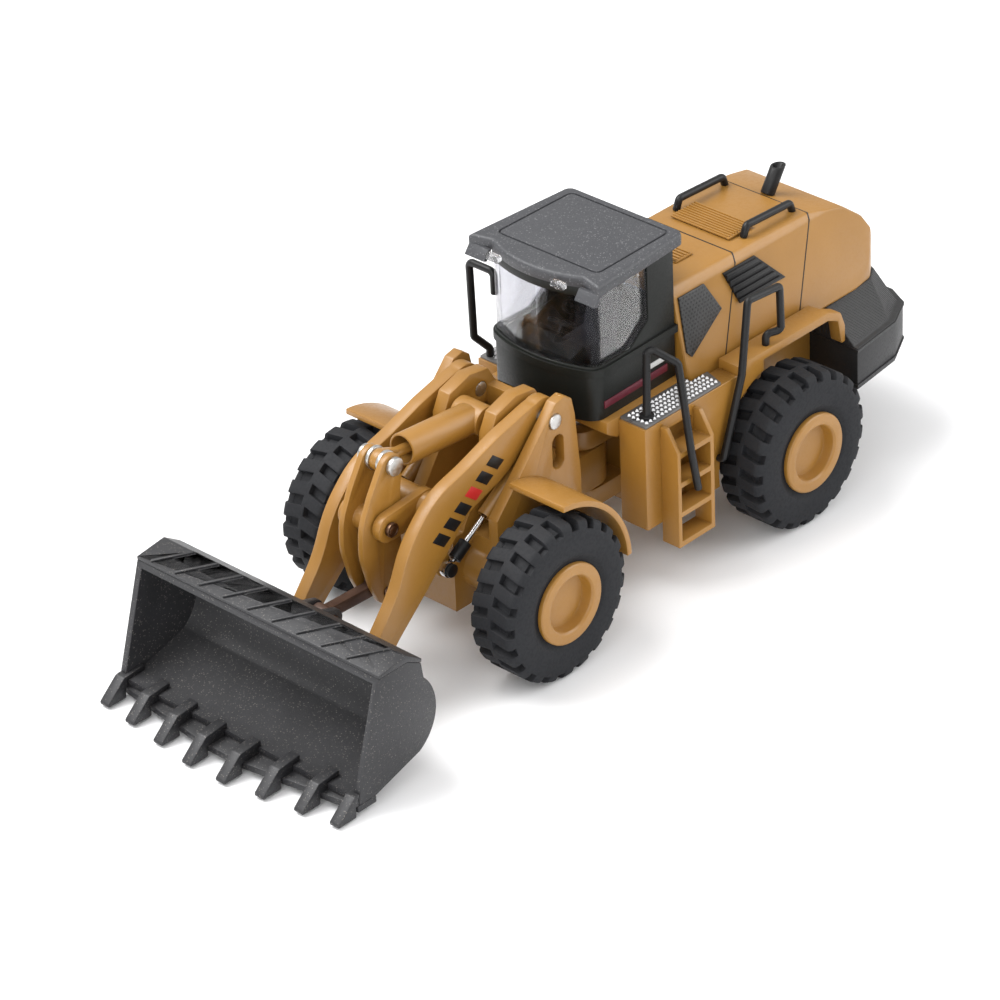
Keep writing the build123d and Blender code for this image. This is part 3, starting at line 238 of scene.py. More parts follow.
def make_fleck_group() -> bpy.types.NodeTree:
    """Scattered bright flecks, as of metallic paint.

    Returns:
        The group, with outputs Color and Mask.
    """
    graph, given, out = new_group(
        "fleck",
        {
            "Color": ("NodeSocketColor", (0.03, 0.03, 0.03, 1)),
            "Fleck": ("NodeSocketColor", (0.4, 0.4, 0.4, 1)),
            "Scale": ("NodeSocketFloat", 3500.0),
            "Amount": ("NodeSocketFloat", 0.2),
        },
        {"Color": "NodeSocketColor", "Mask": "NodeSocketFloat"},
    )
    place = graph.add("ShaderNodeTexCoord")
    cells = graph.add("ShaderNodeTexVoronoi", feature="F1")
    graph.link(place.outputs["Object"], cells.inputs["Vector"])
    graph.link(given.outputs["Scale"], cells.inputs["Scale"])
    parts = graph.add("ShaderNodeSeparateColor")
    graph.link(cells.outputs["Color"], parts.inputs["Color"])
    threshold = graph.math("SUBTRACT", 1.0, given.outputs["Amount"])
    chosen = graph.math("GREATER_THAN", parts.outputs["Red"], threshold)
    core = graph.math("LESS_THAN", cells.outputs["Distance"], FLECK_SIZE)
    strength = graph.math("MULTIPLY", graph.math("MULTIPLY", chosen, core), parts.outputs["Green"])
    mix = graph.add("ShaderNodeMix", data_type="RGBA")
    graph.link(strength, mix.inputs["Factor"])
    graph.link(given.outputs["Color"], mix.inputs[6])
    graph.link(given.outputs["Fleck"], mix.inputs[7])
    graph.link(mix.outputs[2], out.inputs["Color"])
    graph.link(strength, out.inputs["Mask"])
    return graph.tree


def make_dust_group() -> bpy.types.NodeTree:
    """Thin pale dust that settles on faces that look up.

    Returns:
        The group, with outputs Color and Mask.
    """
    graph, given, out = new_group(
        "dust",
        {
            "Color": ("NodeSocketColor", (0.1, 0.1, 0.1, 1)),
            "Dust": ("NodeSocketColor", (0.45, 0.43, 0.40, 1)),
            "Amount": ("NodeSocketFloat", 0.08),
        },
        {"Color": "NodeSocketColor", "Mask": "NodeSocketFloat"},
    )
    place = graph.add("ShaderNodeTexCoord")
    axes = graph.add("ShaderNodeSeparateXYZ")
    graph.link(place.outputs["Normal"], axes.inputs["Vector"])
    up = graph.math("MAXIMUM", axes.outputs["Z"], 0.0)
    noise = graph.add("ShaderNodeTexNoise", Scale=420.0, Detail=5.0, Roughness=0.7)
    graph.link(place.outputs["Object"], noise.inputs["Vector"])
    cloudy = graph.math("MULTIPLY", noise.outputs["Fac"], up)
    mask = graph.math("MULTIPLY", cloudy, given.outputs["Amount"])
    mix = graph.add("ShaderNodeMix", data_type="RGBA")
    graph.link(mask, mix.inputs["Factor"])
    graph.link(given.outputs["Color"], mix.inputs[6])
    graph.link(given.outputs["Dust"], mix.inputs[7])
    graph.link(mix.outputs[2], out.inputs["Color"])
    graph.link(mask, out.inputs["Mask"])
    return graph.tree


GROUPS: dict[str, bpy.types.NodeTree] = {
    "mottle": make_mottle_group(),
    "grain": make_grain_group(),
    "fleck": make_fleck_group(),
    "dust": make_dust_group(),
}


def place_group(graph: Graph, name: str, **values: object) -> bpy.types.Node:
    """Put one of the shared groups in a material with its own values."""
    node = graph.tree.nodes.new("ShaderNodeGroup")
    node.node_tree = GROUPS[name]
    for label, value in values.items():
        node.inputs[label].default_value = value
    return node


def rgba(colour: Colour) -> tuple[float, float, float, float]:
    """Colour with full alpha."""
    return (*colour, 1.0)


# ---- finishes ------------------------------------------------------------------------------------


@dataclass(frozen=True)
class Finish:
    """A surface: its colours, gloss and skin, all in linear values and millimetre-sized patterns."""

    name: str
    colour: Colour
    second: Colour
    slot: str
    roughness: float = 0.45
    metallic: float = 0.0
    specular: float = 0.5
    coat: float = 0.0
    coat_roughness: float = 0.15
    mottle_scale: float = 110.0
    mottle_amount: float = 0.5
    grain_scale: float = 2600.0
    grain_coarse: float = 0.4
    grain_depth: float = 0.02
    grain_strength: float = 0.25
    rough_change: float = 0.08
    dust: float = 0.05
    fleck: Optional[Colour] = None
    fleck_scale: float = 3400.0
    fleck_amount: float = 0.2

    def shader(self, graph: Graph) -> bpy.types.Node:
        """Add the material's own shader with its fixed values."""
        shader = graph.add(
            "ShaderNodeBsdfPrincipled", Roughness=self.roughness, Metallic=self.metallic
        )
        shader.inputs["Specular IOR Level"].default_value = self.specular
        shader.inputs["Coat Weight"].default_value = self.coat
        shader.inputs["Coat Roughness"].default_value = self.coat_roughness
        return shader

    def build(self) -> bpy.types.Material:
        """Make the material.

        Returns:
            The finished material.
        """
        material = bpy.data.materials.new(self.name)
        material.use_nodes = True
        material.node_tree.nodes.clear()
        graph = Graph(material.node_tree)
        shader = self.shader(graph)
        mottle = place_group(
            graph, "mottle", Color=rgba(self.colour), Second=rgba(self.second),
            Scale=self.mottle_scale, Amount=self.mottle_amount,
        )
        colour = mottle.outputs["Color"]
        if self.fleck is not None:
            fleck = place_group(
                graph, "fleck", Fleck=rgba(self.fleck), Scale=self.fleck_scale, Amount=self.fleck_amount
            )
            graph.link(colour, fleck.inputs["Color"])
            colour = fleck.outputs["Color"]
        dust = place_group(graph, "dust", Amount=self.dust)
        graph.link(colour, dust.inputs["Color"])
        self.colour_in(graph, shader, dust.outputs["Color"])
        grain = place_group(graph, "grain", Scale=self.grain_scale, Coarse=self.grain_coarse)
        spread = graph.math("MULTIPLY", grain.outputs["Mask"], self.rough_change)
        soft = graph.math("MULTIPLY", mottle.outputs["Mask"], self.rough_change)
        roughness = graph.math("ADD", graph.math("ADD", spread, soft), self.roughness)
        graph.link(roughness, shader.inputs["Roughness"])
        bump = graph.add("ShaderNodeBump", Strength=self.grain_strength, Distance=self.grain_depth * MM)
        graph.link(self.height(graph, grain), bump.inputs["Height"])
        graph.link(bump.outputs["Normal"], shader.inputs["Normal"])
        output = graph.add("ShaderNodeOutputMaterial")
        graph.link(shader.outputs["BSDF"], output.inputs["Surface"])
        return material

    def colour_in(self, graph: Graph, shader: bpy.types.Node, colour: bpy.types.NodeSocket) -> None:
        """Feed the colour to the shader."""
        graph.link(colour, shader.inputs["Base Color"])

    def height(self, graph: Graph, grain: bpy.types.Node) -> bpy.types.NodeSocket:
        """The height that the surface's bump follows."""
        return grain.outputs["Height"]


@dataclass(frozen=True)
class Knurled(Finish):
    """A black panel pressed into rows of small round pits."""

    pit_pitch: float = 0.95
    row_share: float = 0.8  # distance between rows, as a share of the pitch
    pit_size: float = 0.085  # square of the pit's radius, in pitches
    pit_height: float = 6.0

    def pits(self, graph: Graph) -> bpy.types.NodeSocket:
        """Round pits in staggered rows, seen from the side; 1 in a pit and 0 between.

        Returns:
            The mask's socket.
        """
        place = graph.add("ShaderNodeTexCoord")
        axes = graph.add("ShaderNodeSeparateXYZ")
        graph.link(place.outputs["Object"], axes.inputs["Vector"])
        step = self.pit_pitch * MM
        across = graph.math("DIVIDE", axes.outputs["X"], step)
        up = graph.math("DIVIDE", axes.outputs["Z"], step * self.row_share)
        odd = graph.math("MULTIPLY", graph.math("MODULO", graph.math("FLOOR", up), 2.0), 0.5)
        column = graph.math("ADD", graph.math("ADD", across, odd), PATTERN_SHIFT)
        row = graph.math("ADD", up, PATTERN_SHIFT)
        u = graph.math("SUBTRACT", graph.math("FRACT", column), 0.5)
        v = graph.math("SUBTRACT", graph.math("FRACT", row), 0.5)
        far = graph.math("ADD", graph.math("MULTIPLY", u, u), graph.math("MULTIPLY", v, v))
        return graph.math("LESS_THAN", far, self.pit_size)

    def colour_in(self, graph: Graph, shader: bpy.types.Node, colour: bpy.types.NodeSocket) -> None:
        """Darken the pits: near-black painted shade in the recesses."""
        mix = graph.add("ShaderNodeMix", data_type="RGBA")
        graph.link(self.pits(graph), mix.inputs["Factor"])
        graph.link(colour, mix.inputs[6])
        # the pits' near-black colour is painted shade inside the recesses, not a colour of the panel
        mix.inputs[7].default_value = (0.002, 0.002, 0.002, 1.0)
        graph.link(mix.outputs[2], shader.inputs["Base Color"])

    def height(self, graph: Graph, grain: bpy.types.Node) -> bpy.types.NodeSocket:
        """Grain with the pits sunk into it."""
        depth = graph.math("MULTIPLY", self.pits(graph), self.pit_height)
        return graph.math("SUBTRACT", grain.outputs["Height"], depth)


@dataclass(frozen=True)
class Ribbed(Finish):
    """A moulding with fine upright ribs above a plain lower band."""

    rib_pitch: float = 0.85
    rib_foot: float = 29.6  # height above the ground where the ribs begin
    rib_height: float = 14.0

    def height(self, graph: Graph, grain: bpy.types.Node) -> bpy.types.NodeSocket:
        """Grain with ribs that follow the outline round its corner."""
        place = graph.add("ShaderNodeTexCoord")
        axes = graph.add("ShaderNodeSeparateXYZ")
        graph.link(place.outputs["Object"], axes.inputs["Vector"])
        along = graph.math("ADD", axes.outputs["X"], graph.math("ABSOLUTE", axes.outputs["Y"]))
        turns = graph.math("ADD", graph.math("DIVIDE", along, self.rib_pitch * MM), PATTERN_SHIFT)
        ridge = graph.math("ABSOLUTE", graph.math("SUBTRACT", graph.math("FRACT", turns), 0.5))
        upper = graph.math("GREATER_THAN", axes.outputs["Z"], self.rib_foot * MM)
        ribs = graph.math("MULTIPLY", graph.math("MULTIPLY", ridge, upper), self.rib_height)
        return graph.math("ADD", grain.outputs["Height"], ribs)


@dataclass(frozen=True)
class Clear:
    """Clear moulded plastic: window panes and lamp lenses."""

    name: str
    tint: Colour
    slot: str
    roughness: float = 0.04
    ripple: float = 0.02
    ripple_scale: float = 60.0
    ior: float = 1.3
    haze: float = 0.03
    alpha: float = 1.0

    def build(self) -> bpy.types.Material:
        """Make the material.

        Returns:
            The finished material.
        """
        material = bpy.data.materials.new(self.name)
        material.use_nodes = True
        material.node_tree.nodes.clear()
        graph = Graph(material.node_tree)
        shader = graph.add("ShaderNodeBsdfPrincipled", Roughness=self.roughness, IOR=self.ior)
        shader.inputs["Transmission Weight"].default_value = 1.0
        shader.inputs["Alpha"].default_value = self.alpha
        mottle = place_group(
            graph, "mottle", Color=rgba(self.tint), Second=rgba(tuple(0.93 * c for c in self.tint)),
            Scale=120.0, Amount=0.6,
        )
        graph.link(mottle.outputs["Color"], shader.inputs["Base Color"])
        grain = place_group(graph, "grain", Scale=self.ripple_scale, Coarse=0.8)
        haze = graph.math("MULTIPLY", grain.outputs["Mask"], self.haze)
        graph.link(graph.math("ADD", haze, self.roughness), shader.inputs["Roughness"])
        bump = graph.add("ShaderNodeBump", Strength=self.ripple, Distance=0.2 * MM)
        graph.link(grain.outputs["Height"], bump.inputs["Height"])
        graph.link(bump.outputs["Normal"], shader.inputs["Normal"])
        output = graph.add("ShaderNodeOutputMaterial")
        graph.link(shader.outputs["BSDF"], output.inputs["Surface"])
        return material


ENAMEL = Finish(
    "mustard_enamel", (0.315, 0.150, 0.023), (0.270, 0.126, 0.018), "body_paint",
    roughness=0.36, coat=0.15, coat_roughness=0.2, grain_scale=1500.0, grain_depth=0.03,
    grain_strength=0.2, dust=0.05,
)
GRAPHITE = Finish(
    "graphite_paint", (0.020, 0.020, 0.022), (0.027, 0.027, 0.030), "bucket_paint",
    roughness=0.40, metallic=0.15, grain_scale=3200.0, grain_depth=0.06, grain_strength=0.45,
    fleck=(0.13, 0.12, 0.11), fleck_scale=3400.0, fleck_amount=0.22, dust=0.03,
)
RUBBER = Finish(
    "tyre_rubber", (0.0095, 0.0102, 0.0125), (0.015, 0.0157, 0.0185), "tyre_rubber",
    roughness=0.7, specular=0.3, mottle_scale=160.0, grain_scale=1800.0, grain_depth=0.05,
    grain_strength=0.35, dust=0.025,
)
SATIN_BLACK = Finish(
    "satin_black", (0.006, 0.006, 0.0065), (0.009, 0.009, 0.0095), "black_plastic",
    roughness=0.36, grain_scale=2400.0, grain_depth=0.03, specular=0.3, dust=0.03,
)
CAB_BLACK = Finish(
    "cab_black", (0.006, 0.007, 0.006), (0.009, 0.0105, 0.009), "black_plastic",
    roughness=0.38, grain_scale=2400.0, grain_depth=0.03, specular=0.25, dust=0.03,
)
WEIGHT_BLACK = Ribbed(
    "weight_black", (0.012, 0.012, 0.013), (0.017, 0.017, 0.018), "black_plastic",
    roughness=0.48, grain_scale=2200.0, grain_depth=0.05, grain_strength=0.35, dust=0.06,
)
ROOF_GREY = Finish(
    "roof_grey", (0.043, 0.044, 0.049), (0.053, 0.054, 0.059), "roof_plastic",
    roughness=0.42, grain_scale=2600.0, grain_depth=0.07, grain_strength=0.55, rough_change=0.14,
    fleck=(0.16, 0.16, 0.165), fleck_scale=3200.0, fleck_amount=0.22, dust=0.02,
)
SEAT_GREY = Finish(
    "seat_grey", (0.030, 0.030, 0.036), (0.042, 0.042, 0.050), "seat_plastic",
    roughness=0.7,
)
PIN_STEEL = Finish(
    "pin_steel", (0.60, 0.59, 0.57), (0.45, 0.44, 0.42), "steel_pin",
    roughness=0.26, metallic=1.0, mottle_scale=500.0, grain_scale=1600.0, grain_depth=0.02,
    rough_change=0.16, dust=0.0,
)
PIN_BROWN = Finish(
    "pin_bronzed", (0.21, 0.13, 0.085), (0.11, 0.065, 0.045), "steel_pin",
    roughness=0.32, metallic=1.0, mottle_scale=600.0, grain_scale=1600.0, dust=0.0,
)
ROD_CHROME = Finish(
    "rod_chrome", (0.78, 0.78, 0.79), (0.68, 0.68, 0.69), "chrome_rod",
    roughness=0.10, metallic=1.0, mottle_scale=400.0, grain_scale=1200.0, grain_depth=0.005, dust=0.0,
)
LINK_BROWN = Finish(
    "link_brown", (0.060, 0.030, 0.020), (0.10, 0.052, 0.032), "link_brown",
    roughness=0.42, metallic=0.3, mottle_scale=500.0, grain_depth=0.04, dust=0.02,
)
CHECKER = Finish(
    "checker_silver", (0.62, 0.62, 0.63), (0.50, 0.50, 0.51), "checker_plate",
    roughness=0.28, metallic=0.85, mottle_scale=300.0, grain_scale=1800.0, grain_depth=0.02, dust=0.02,
)
CHECKER_BASE = Finish(
    "checker_shadow", (0.17, 0.165, 0.16), (0.12, 0.12, 0.12), "checker_plate",
    roughness=0.5, metallic=0.5, mottle_scale=300.0, dust=0.02,
)
GRILLE = Knurled(
    "grille_black", (0.024, 0.024, 0.024), (0.034, 0.034, 0.034), "black_plastic",
    roughness=0.34, grain_depth=0.10, grain_strength=0.9, dust=0.02,
)
STRIPE_RED = Finish(
    "stripe_red", (0.50, 0.020, 0.018), (0.42, 0.016, 0.016), "body_paint",
    roughness=0.34, dust=0.02,
)
STRIPE_MAROON = Finish(
    "stripe_maroon", (0.115, 0.010, 0.022), (0.085, 0.008, 0.018), "black_plastic",
    roughness=0.34, dust=0.02,
)
STRIPE_WHITE = Finish(
    "stripe_white", (0.55, 0.55, 0.54), (0.45, 0.45, 0.45), "black_plastic",
    roughness=0.4, dust=0.02,
)
WINDOW = Clear(
    "window_clear", (0.60, 0.60, 0.71), "window_glass",
    ripple=0.0, haze=0.0, alpha=0.4,
)
LENS = Clear(
    "lens_clear", (0.55, 0.55, 0.57), "lamp_lens",
    roughness=0.12, ripple=0.08, ripple_scale=900.0, alpha=0.6, ior=1.45,
)
FLOOR = Finish(
    "studio_floor", (0.86, 0.86, 0.865), (0.84, 0.84, 0.845), "",
    roughness=0.8, mottle_scale=4.0, grain_scale=300.0, grain_depth=0.02, dust=0.0,
)

_MADE: dict[str, bpy.types.Material] = {}


def material_of(finish: Finish | Clear) -> bpy.types.Material:
    """The material of a finish, made once."""
    if finish.name not in _MADE:
        _MADE[finish.name] = finish.build()
    return _MADE[finish.name]


# ---- bench: the operators that every piece uses --------------------------------------------------


def deselect() -> None:
    """Leave edit mode and select nothing."""
    if bpy.context.object is not None and bpy.context.object.mode != "OBJECT":
        bpy.ops.object.mode_set(mode="OBJECT")
    bpy.ops.object.select_all(action="DESELECT")


def choose(piece: bpy.types.Object) -> None:
    """Select one object and make it active."""
    deselect()
    piece.select_set(True)
    bpy.context.view_layer.objects.active = piece


def bake_place(piece: bpy.types.Object) -> None:
    """Move the piece's place into its mesh, so that its object stands at the origin."""
    choose(piece)
    bpy.ops.object.transform_apply(location=True, rotation=True, scale=True)


def apply_all(piece: bpy.types.Object) -> None:
    """Apply the piece's modifiers in order."""
    choose(piece)
    for modifier in list(piece.modifiers):
        bpy.ops.object.modifier_apply(modifier=modifier.name)


def soften(piece: bpy.types.Object, width: float, segments: int = 2, angle: float = 32.0,
           clamp: bool = False) -> None:
    """Round the piece's sharp edges and shade it smooth between them.

    Args:
        piece: the object.
        width: the rounding's width in millimetres.
        segments: steps across the rounding.
        angle: the smallest corner that is rounded, in degrees.
        clamp: keep each rounding from running into its neighbours.
    """
    if width > 0:
        bevel = piece.modifiers.new("edge_rounding", "BEVEL")
        bevel.width = width * MM
        bevel.segments = segments
        bevel.limit_method = "ANGLE"
        bevel.angle_limit = math.radians(angle)
        bevel.use_clamp_overlap = clamp
        bevel.harden_normals = False
        apply_all(piece)
    choose(piece)
    bpy.ops.object.shade_smooth_by_angle(angle=math.radians(angle))


def select_faces(piece: bpy.types.Object, test: Callable[[bpy.types.MeshPolygon], bool]) -> None:
    """Open the piece for editing with the faces that pass a test selected.

    Args:
        piece: the object.
        test: takes a face and says whether it is wanted.
    """
    choose(piece)
    bpy.ops.object.mode_set(mode="EDIT")
    bpy.ops.mesh.select_mode(type="FACE")
    bpy.ops.mesh.select_all(action="DESELECT")
    bpy.ops.object.mode_set(mode="OBJECT")
    for face in piece.data.polygons:
        face.select = test(face)
    bpy.ops.object.mode_set(mode="EDIT")


def close_edit() -> None:
    """Leave edit mode."""
    bpy.ops.object.mode_set(mode="OBJECT")


def hand_over(piece: bpy.types.Object, name: str, finish: Finish | Clear, body: Body) -> bpy.types.Object:
    """Name a finished piece, paint it and put it on its body.

    Args:
        piece: the object.
        name: its name in the table of pieces.
        finish: its surface.
        body: the body that carries it.

    Returns:
        The same object.
    """
    piece.name = name
    piece.data.name = name
    piece.data.materials.clear()
    piece.data.materials.append(material_of(finish))
    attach(piece, body.value)
    LOG.info("%s: %d faces on %s", name, len(piece.data.polygons), body.value)
    return piece


def box_piece(
    centre: Sequence[float], size: Sequence[float], turn: Point = (0.0, 0.0, 0.0)
) -> bpy.types.Object:
    """Box in millimetres, turned about its middle, with its place still on the object.

    Args:
        centre: middle of the box, in metres.
        size: its three sides, in millimetres.
        turn: rotation in degrees about X, Y and Z.

    Returns:
        The new object.
    """
    deselect()
    bpy.ops.mesh.primitive_cube_add(size=1.0, location=centre, rotation=[math.radians(t) for t in turn])
    piece = bpy.context.object
    piece.scale = [side * MM for side in size]
    bpy.ops.object.transform_apply(location=False, rotation=False, scale=True)
    return piece


def copy_of(pattern: bpy.types.Object) -> bpy.types.Object:
    """Copy of an object with a mesh of its own."""
    piece = bpy.data.objects.new(pattern.name, pattern.data.copy())
    bpy.context.scene.collection.objects.link(piece)
    return piece


def join(parts: Sequence[bpy.types.Object]) -> bpy.types.Object:
    """Join several objects into the first one."""
    choose(parts[0])
    for part in parts[1:]:
        part.select_set(True)
    bpy.ops.object.join()
    return bpy.context.object


def merged_copy(node: str, name: str) -> bpy.types.Object:
    """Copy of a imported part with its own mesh, its triangles joined into faces.

    Args:
        node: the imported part.
        name: the copy's name.

    Returns:
        The copy, with no material.
    """
    piece = copy_of(frame["nodes"][node])
    piece.name = name
    piece.data.materials.clear()
    choose(piece)
    if piece.data.has_custom_normals:
        bpy.ops.mesh.customdata_custom_splitnormals_clear()
    bpy.ops.object.mode_set(mode="EDIT")
    bpy.ops.mesh.select_mode(type="VERT")
    bpy.ops.mesh.select_all(action="SELECT")
    bpy.ops.mesh.remove_doubles(threshold=MERGE_DISTANCE)
    bpy.ops.mesh.dissolve_limited(angle_limit=FLAT_ANGLE)
    bpy.ops.object.mode_set(mode="OBJECT")
    return piece


# ---- cast and moulded parts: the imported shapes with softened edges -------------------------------


@dataclass
class CastPart:
    """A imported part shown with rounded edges."""

    node: str
    finish: Finish | Clear
    rounding: float = 0.18
    angle: float = 32.0
    clamp: bool = False

    def build(self) -> bpy.types.Object:
        """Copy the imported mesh, join its triangles into faces and round the edges.

        Returns:
            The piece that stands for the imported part.
        """
        piece = merged_copy(self.node, f"{self.node}_cast")
        soften(piece, self.rounding, angle=self.angle, clamp=self.clamp)
        piece.data.materials.append(material_of(self.finish))
        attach(piece, frame["nodes"][self.node]["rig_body"])
        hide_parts(self.node)
        LOG.info("%s: %d faces", piece.name, len(piece.data.polygons))
        return piece


CASTINGS: tuple[CastPart, ...] = (
    CastPart("rear_chassis", ENAMEL),
    CastPart("engine_hood", ENAMEL, 0.5, 20.0),
    CastPart("hood_louvres", ENAMEL, 0.08),
    CastPart("rear_fenders", ENAMEL, 0.3),
    CastPart("side_tanks", ENAMEL, 0.3),
    CastPart("ladders", ENAMEL, 0.15),
    CastPart("cab_platform", ENAMEL, 0.3),
    CastPart("front_chassis", ENAMEL, 0.25),
    CastPart("front_fenders", ENAMEL, 0.25),
    CastPart("lift_arm_left", ENAMEL, 0.35),
    CastPart("lift_arm_right", ENAMEL, 0.35),
    CastPart("arm_cross_tube", ENAMEL, 0.25),
    CastPart("bell_crank", ENAMEL, 0.2),
    CastPart("tilt_barrel", ENAMEL, 0.15),
    CastPart("tilt_rod", ENAMEL, 0.15),
    CastPart("rear_left_rim", ENAMEL, 0.1),
    CastPart("rear_right_rim", ENAMEL, 0.1),
    CastPart("front_left_rim", ENAMEL, 0.1),
    CastPart("front_right_rim", ENAMEL, 0.1),
    CastPart("bucket_shell", GRAPHITE, 0.2),
    CastPart("cutting_edge", GRAPHITE, 0.2),
    CastPart("bucket_teeth", GRAPHITE, 0.25),
    CastPart("spill_guard", GRAPHITE, 0.15),
    CastPart("counterweight", WEIGHT_BLACK, 0.25),
    CastPart("cab_base", CAB_BLACK, 0.2),
    CastPart("cab_frame", CAB_BLACK, 0.2),
    CastPart("cab_roof", ROOF_GREY, 0.25, clamp=True),
    CastPart("dashboard", CAB_BLACK, 0.15),
    CastPart("driver_seat", SEAT_GREY, 0.5),
    CastPart("exhaust_stack", SATIN_BLACK, 0.12),
    CastPart("hood_rails", SATIN_BLACK, 0.15),
    CastPart("rear_step_rails", SATIN_BLACK, 0.15),
    CastPart("front_step_rail", SATIN_BLACK, 0.15),
    CastPart("mirror_bar", SATIN_BLACK, 0.15),
    CastPart("side_vents", SATIN_BLACK, 0.1),
    CastPart("side_grilles", GRILLE, 0.12),
    CastPart("tread_plates", CHECKER_BASE, 0.1),
    CastPart("arm_pivot_pins", PIN_STEEL, 0.25),
    CastPart("hitch_pin", PIN_STEEL, 0.2),
    CastPart("chassis_screws", PIN_STEEL, 0.1),
    CastPart("cylinder_base_pins", PIN_BROWN, 0.15),
    CastPart("crank_pin", PIN_BROWN, 0.25),
    CastPart("rod_eye_pins", SATIN_BLACK, 0.15),
    CastPart("crank_foot_pins", PIN_BROWN, 0.15),
    CastPart("tilt_eye_pin", PIN_STEEL, 0.25),
    CastPart("bucket_pins", PIN_BROWN, 0.2),
    CastPart("rear_axle", PIN_STEEL, 0.1),
    CastPart("front_axle", PIN_STEEL, 0.1),
    CastPart("lift_barrel_left", ENAMEL, 0.12),
    CastPart("lift_barrel_right", ENAMEL, 0.12),
    CastPart("lift_rod_left", ROD_CHROME, 0.1),
    CastPart("lift_rod_right", ROD_CHROME, 0.1),
    CastPart("bucket_link", LINK_BROWN, 0.2),
    CastPart("cab_windows", WINDOW, 0.0),
    CastPart("roof_lamps", LENS, 0.1),
)


# ---- bands and small fittings --------------------------------------------------------------------


@dataclass
class Band:
    """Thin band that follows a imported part's surface between two parallel planes."""

    name: str
    node: str
    start: Point
    along: Point
    width: float
    proud: float
    finish: Finish

    def build(self) -> bpy.types.Object:
        """Cut the band out of a copy of the part and thicken it outwards.

        Returns:
            The band.
        """
        piece = merged_copy(self.node, self.name)
        start = Vector(self.start) * MM
        along = Vector(self.along).normalized()
        bpy.ops.object.mode_set(mode="EDIT")
        bpy.ops.mesh.select_all(action="SELECT")
        bpy.ops.mesh.bisect(plane_co=start, plane_no=along, clear_inner=True)
        bpy.ops.mesh.select_all(action="SELECT")
        bpy.ops.mesh.bisect(plane_co=start + along * self.width * MM, plane_no=along, clear_outer=True)
        bpy.ops.object.mode_set(mode="OBJECT")
        wall = piece.modifiers.new("wall", "SOLIDIFY")
        wall.thickness = self.proud * MM
        wall.offset = 1.0
        wall.use_even_offset = True
        apply_all(piece)
        soften(piece, 0.0)
        return hand_over(piece, self.name, self.finish, Body.REAR)


HOOD_LEAN = (1.0, 0.0, 0.45)  # the hood's seams run forward as they go down
BANDS: tuple[Band, ...] = (
    Band("cab_sill_ring", "cab_base", (0.0, 0.0, 48.0), (0.0, 0.0, 1.0), 1.15, 0.45, CAB_BLACK),
    Band("hood_seam_rear", "engine_hood", (-70.9, 0.0, 57.0), HOOD_LEAN, 0.3, 0.03, SATIN_BLACK),
    Band("hood_seam_front", "engine_hood", (-47.9, 0.0, 57.0), HOOD_LEAN, 0.3, 0.03, SATIN_BLACK),
    Band("weight_lower_bead", "counterweight", (0.0, 0.0, 20.3), (0.0, 0.0, 1.0), 0.5, 0.22, WEIGHT_BLACK),
    Band("weight_upper_bead", "counterweight", (0.0, 0.0, 28.4), (0.0, 0.0, 1.0), 0.6, 0.22, WEIGHT_BLACK),
)


@dataclass
class CabMat:
    """Black mat on the floor inside the cab."""

    margin: float = 2.2
    front_gap: float = 6.0
    thickness: float = 0.25
    floor_level: float = 38.0
    border: float = 0.6
    sunk: float = 0.1
    rounding: float = 0.04

    def build(self) -> bpy.types.Object:
        """Lay the mat on the platform.

        Returns:
            The mat.
        """
        low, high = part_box("cab_base")
        back, front = low.x + self.margin * MM, high.x - self.front_gap * MM
        floor = self.floor_level * MM
        centre = ((back + front) / 2, 0.0, floor + self.thickness / 2 * MM)
        size = ((front - back) / MM, 2 * (high.y / MM - self.margin), self.thickness)
        piece = box_piece(centre, size)
        bake_place(piece)
        select_faces(piece, lambda face: face.normal.z > 0.9)
        bpy.ops.mesh.inset(thickness=self.border * MM)
        bpy.ops.mesh.extrude_region_shrink_fatten(TRANSFORM_OT_shrink_fatten={"value": -self.sunk * MM})
        close_edit()
        soften(piece, self.rounding)
        return hand_over(piece, "cab_mat", CAB_BLACK, Body.REAR)


@dataclass
class RodSleeve:
    """Black sleeve beside the eye of a lift cylinder's rod; `eye` and `far` are the cylinder's two pivots."""

    eye: tuple[float, float] = (36.35, 22.5)
    far: tuple[float, float] = (10.75, 38.6)
    half_track: float = 10.5
    start: float = 2.4
    length: float = 4.0
    radius: float = 1.35
    border: float = 0.2
    rounding: float = 0.15

    def build(self, side: Side) -> bpy.types.Object:
        """Turn a collared sleeve and lay it along the rod.

        Args:
            side: left or right cylinder.

        Returns:
            The sleeve.
        """
        run = Vector((self.far[0] - self.eye[0], 0.0, self.far[1] - self.eye[1])).normalized()
        place = Vector((self.eye[0], side.value * self.half_track, self.eye[1]))
        centre = (place + run * (self.start + self.length / 2)) * MM
        deselect()
        bpy.ops.mesh.primitive_cylinder_add(vertices=32, radius=self.radius * MM, depth=self.length * MM,
                                            location=centre, rotation=run.to_track_quat("Z", "Y").to_euler())
        piece = bpy.context.object
        bake_place(piece)
        select_faces(piece, lambda face: abs(face.normal.dot(run)) > 0.9)
        bpy.ops.mesh.inset(thickness=self.border * MM, use_individual=True)
        close_edit()
        soften(piece, self.rounding, 3)
        return hand_over(piece, f"rod_sleeve_{side.name.lower()}", SATIN_BLACK, Body[f"{side.name}_ROD"])


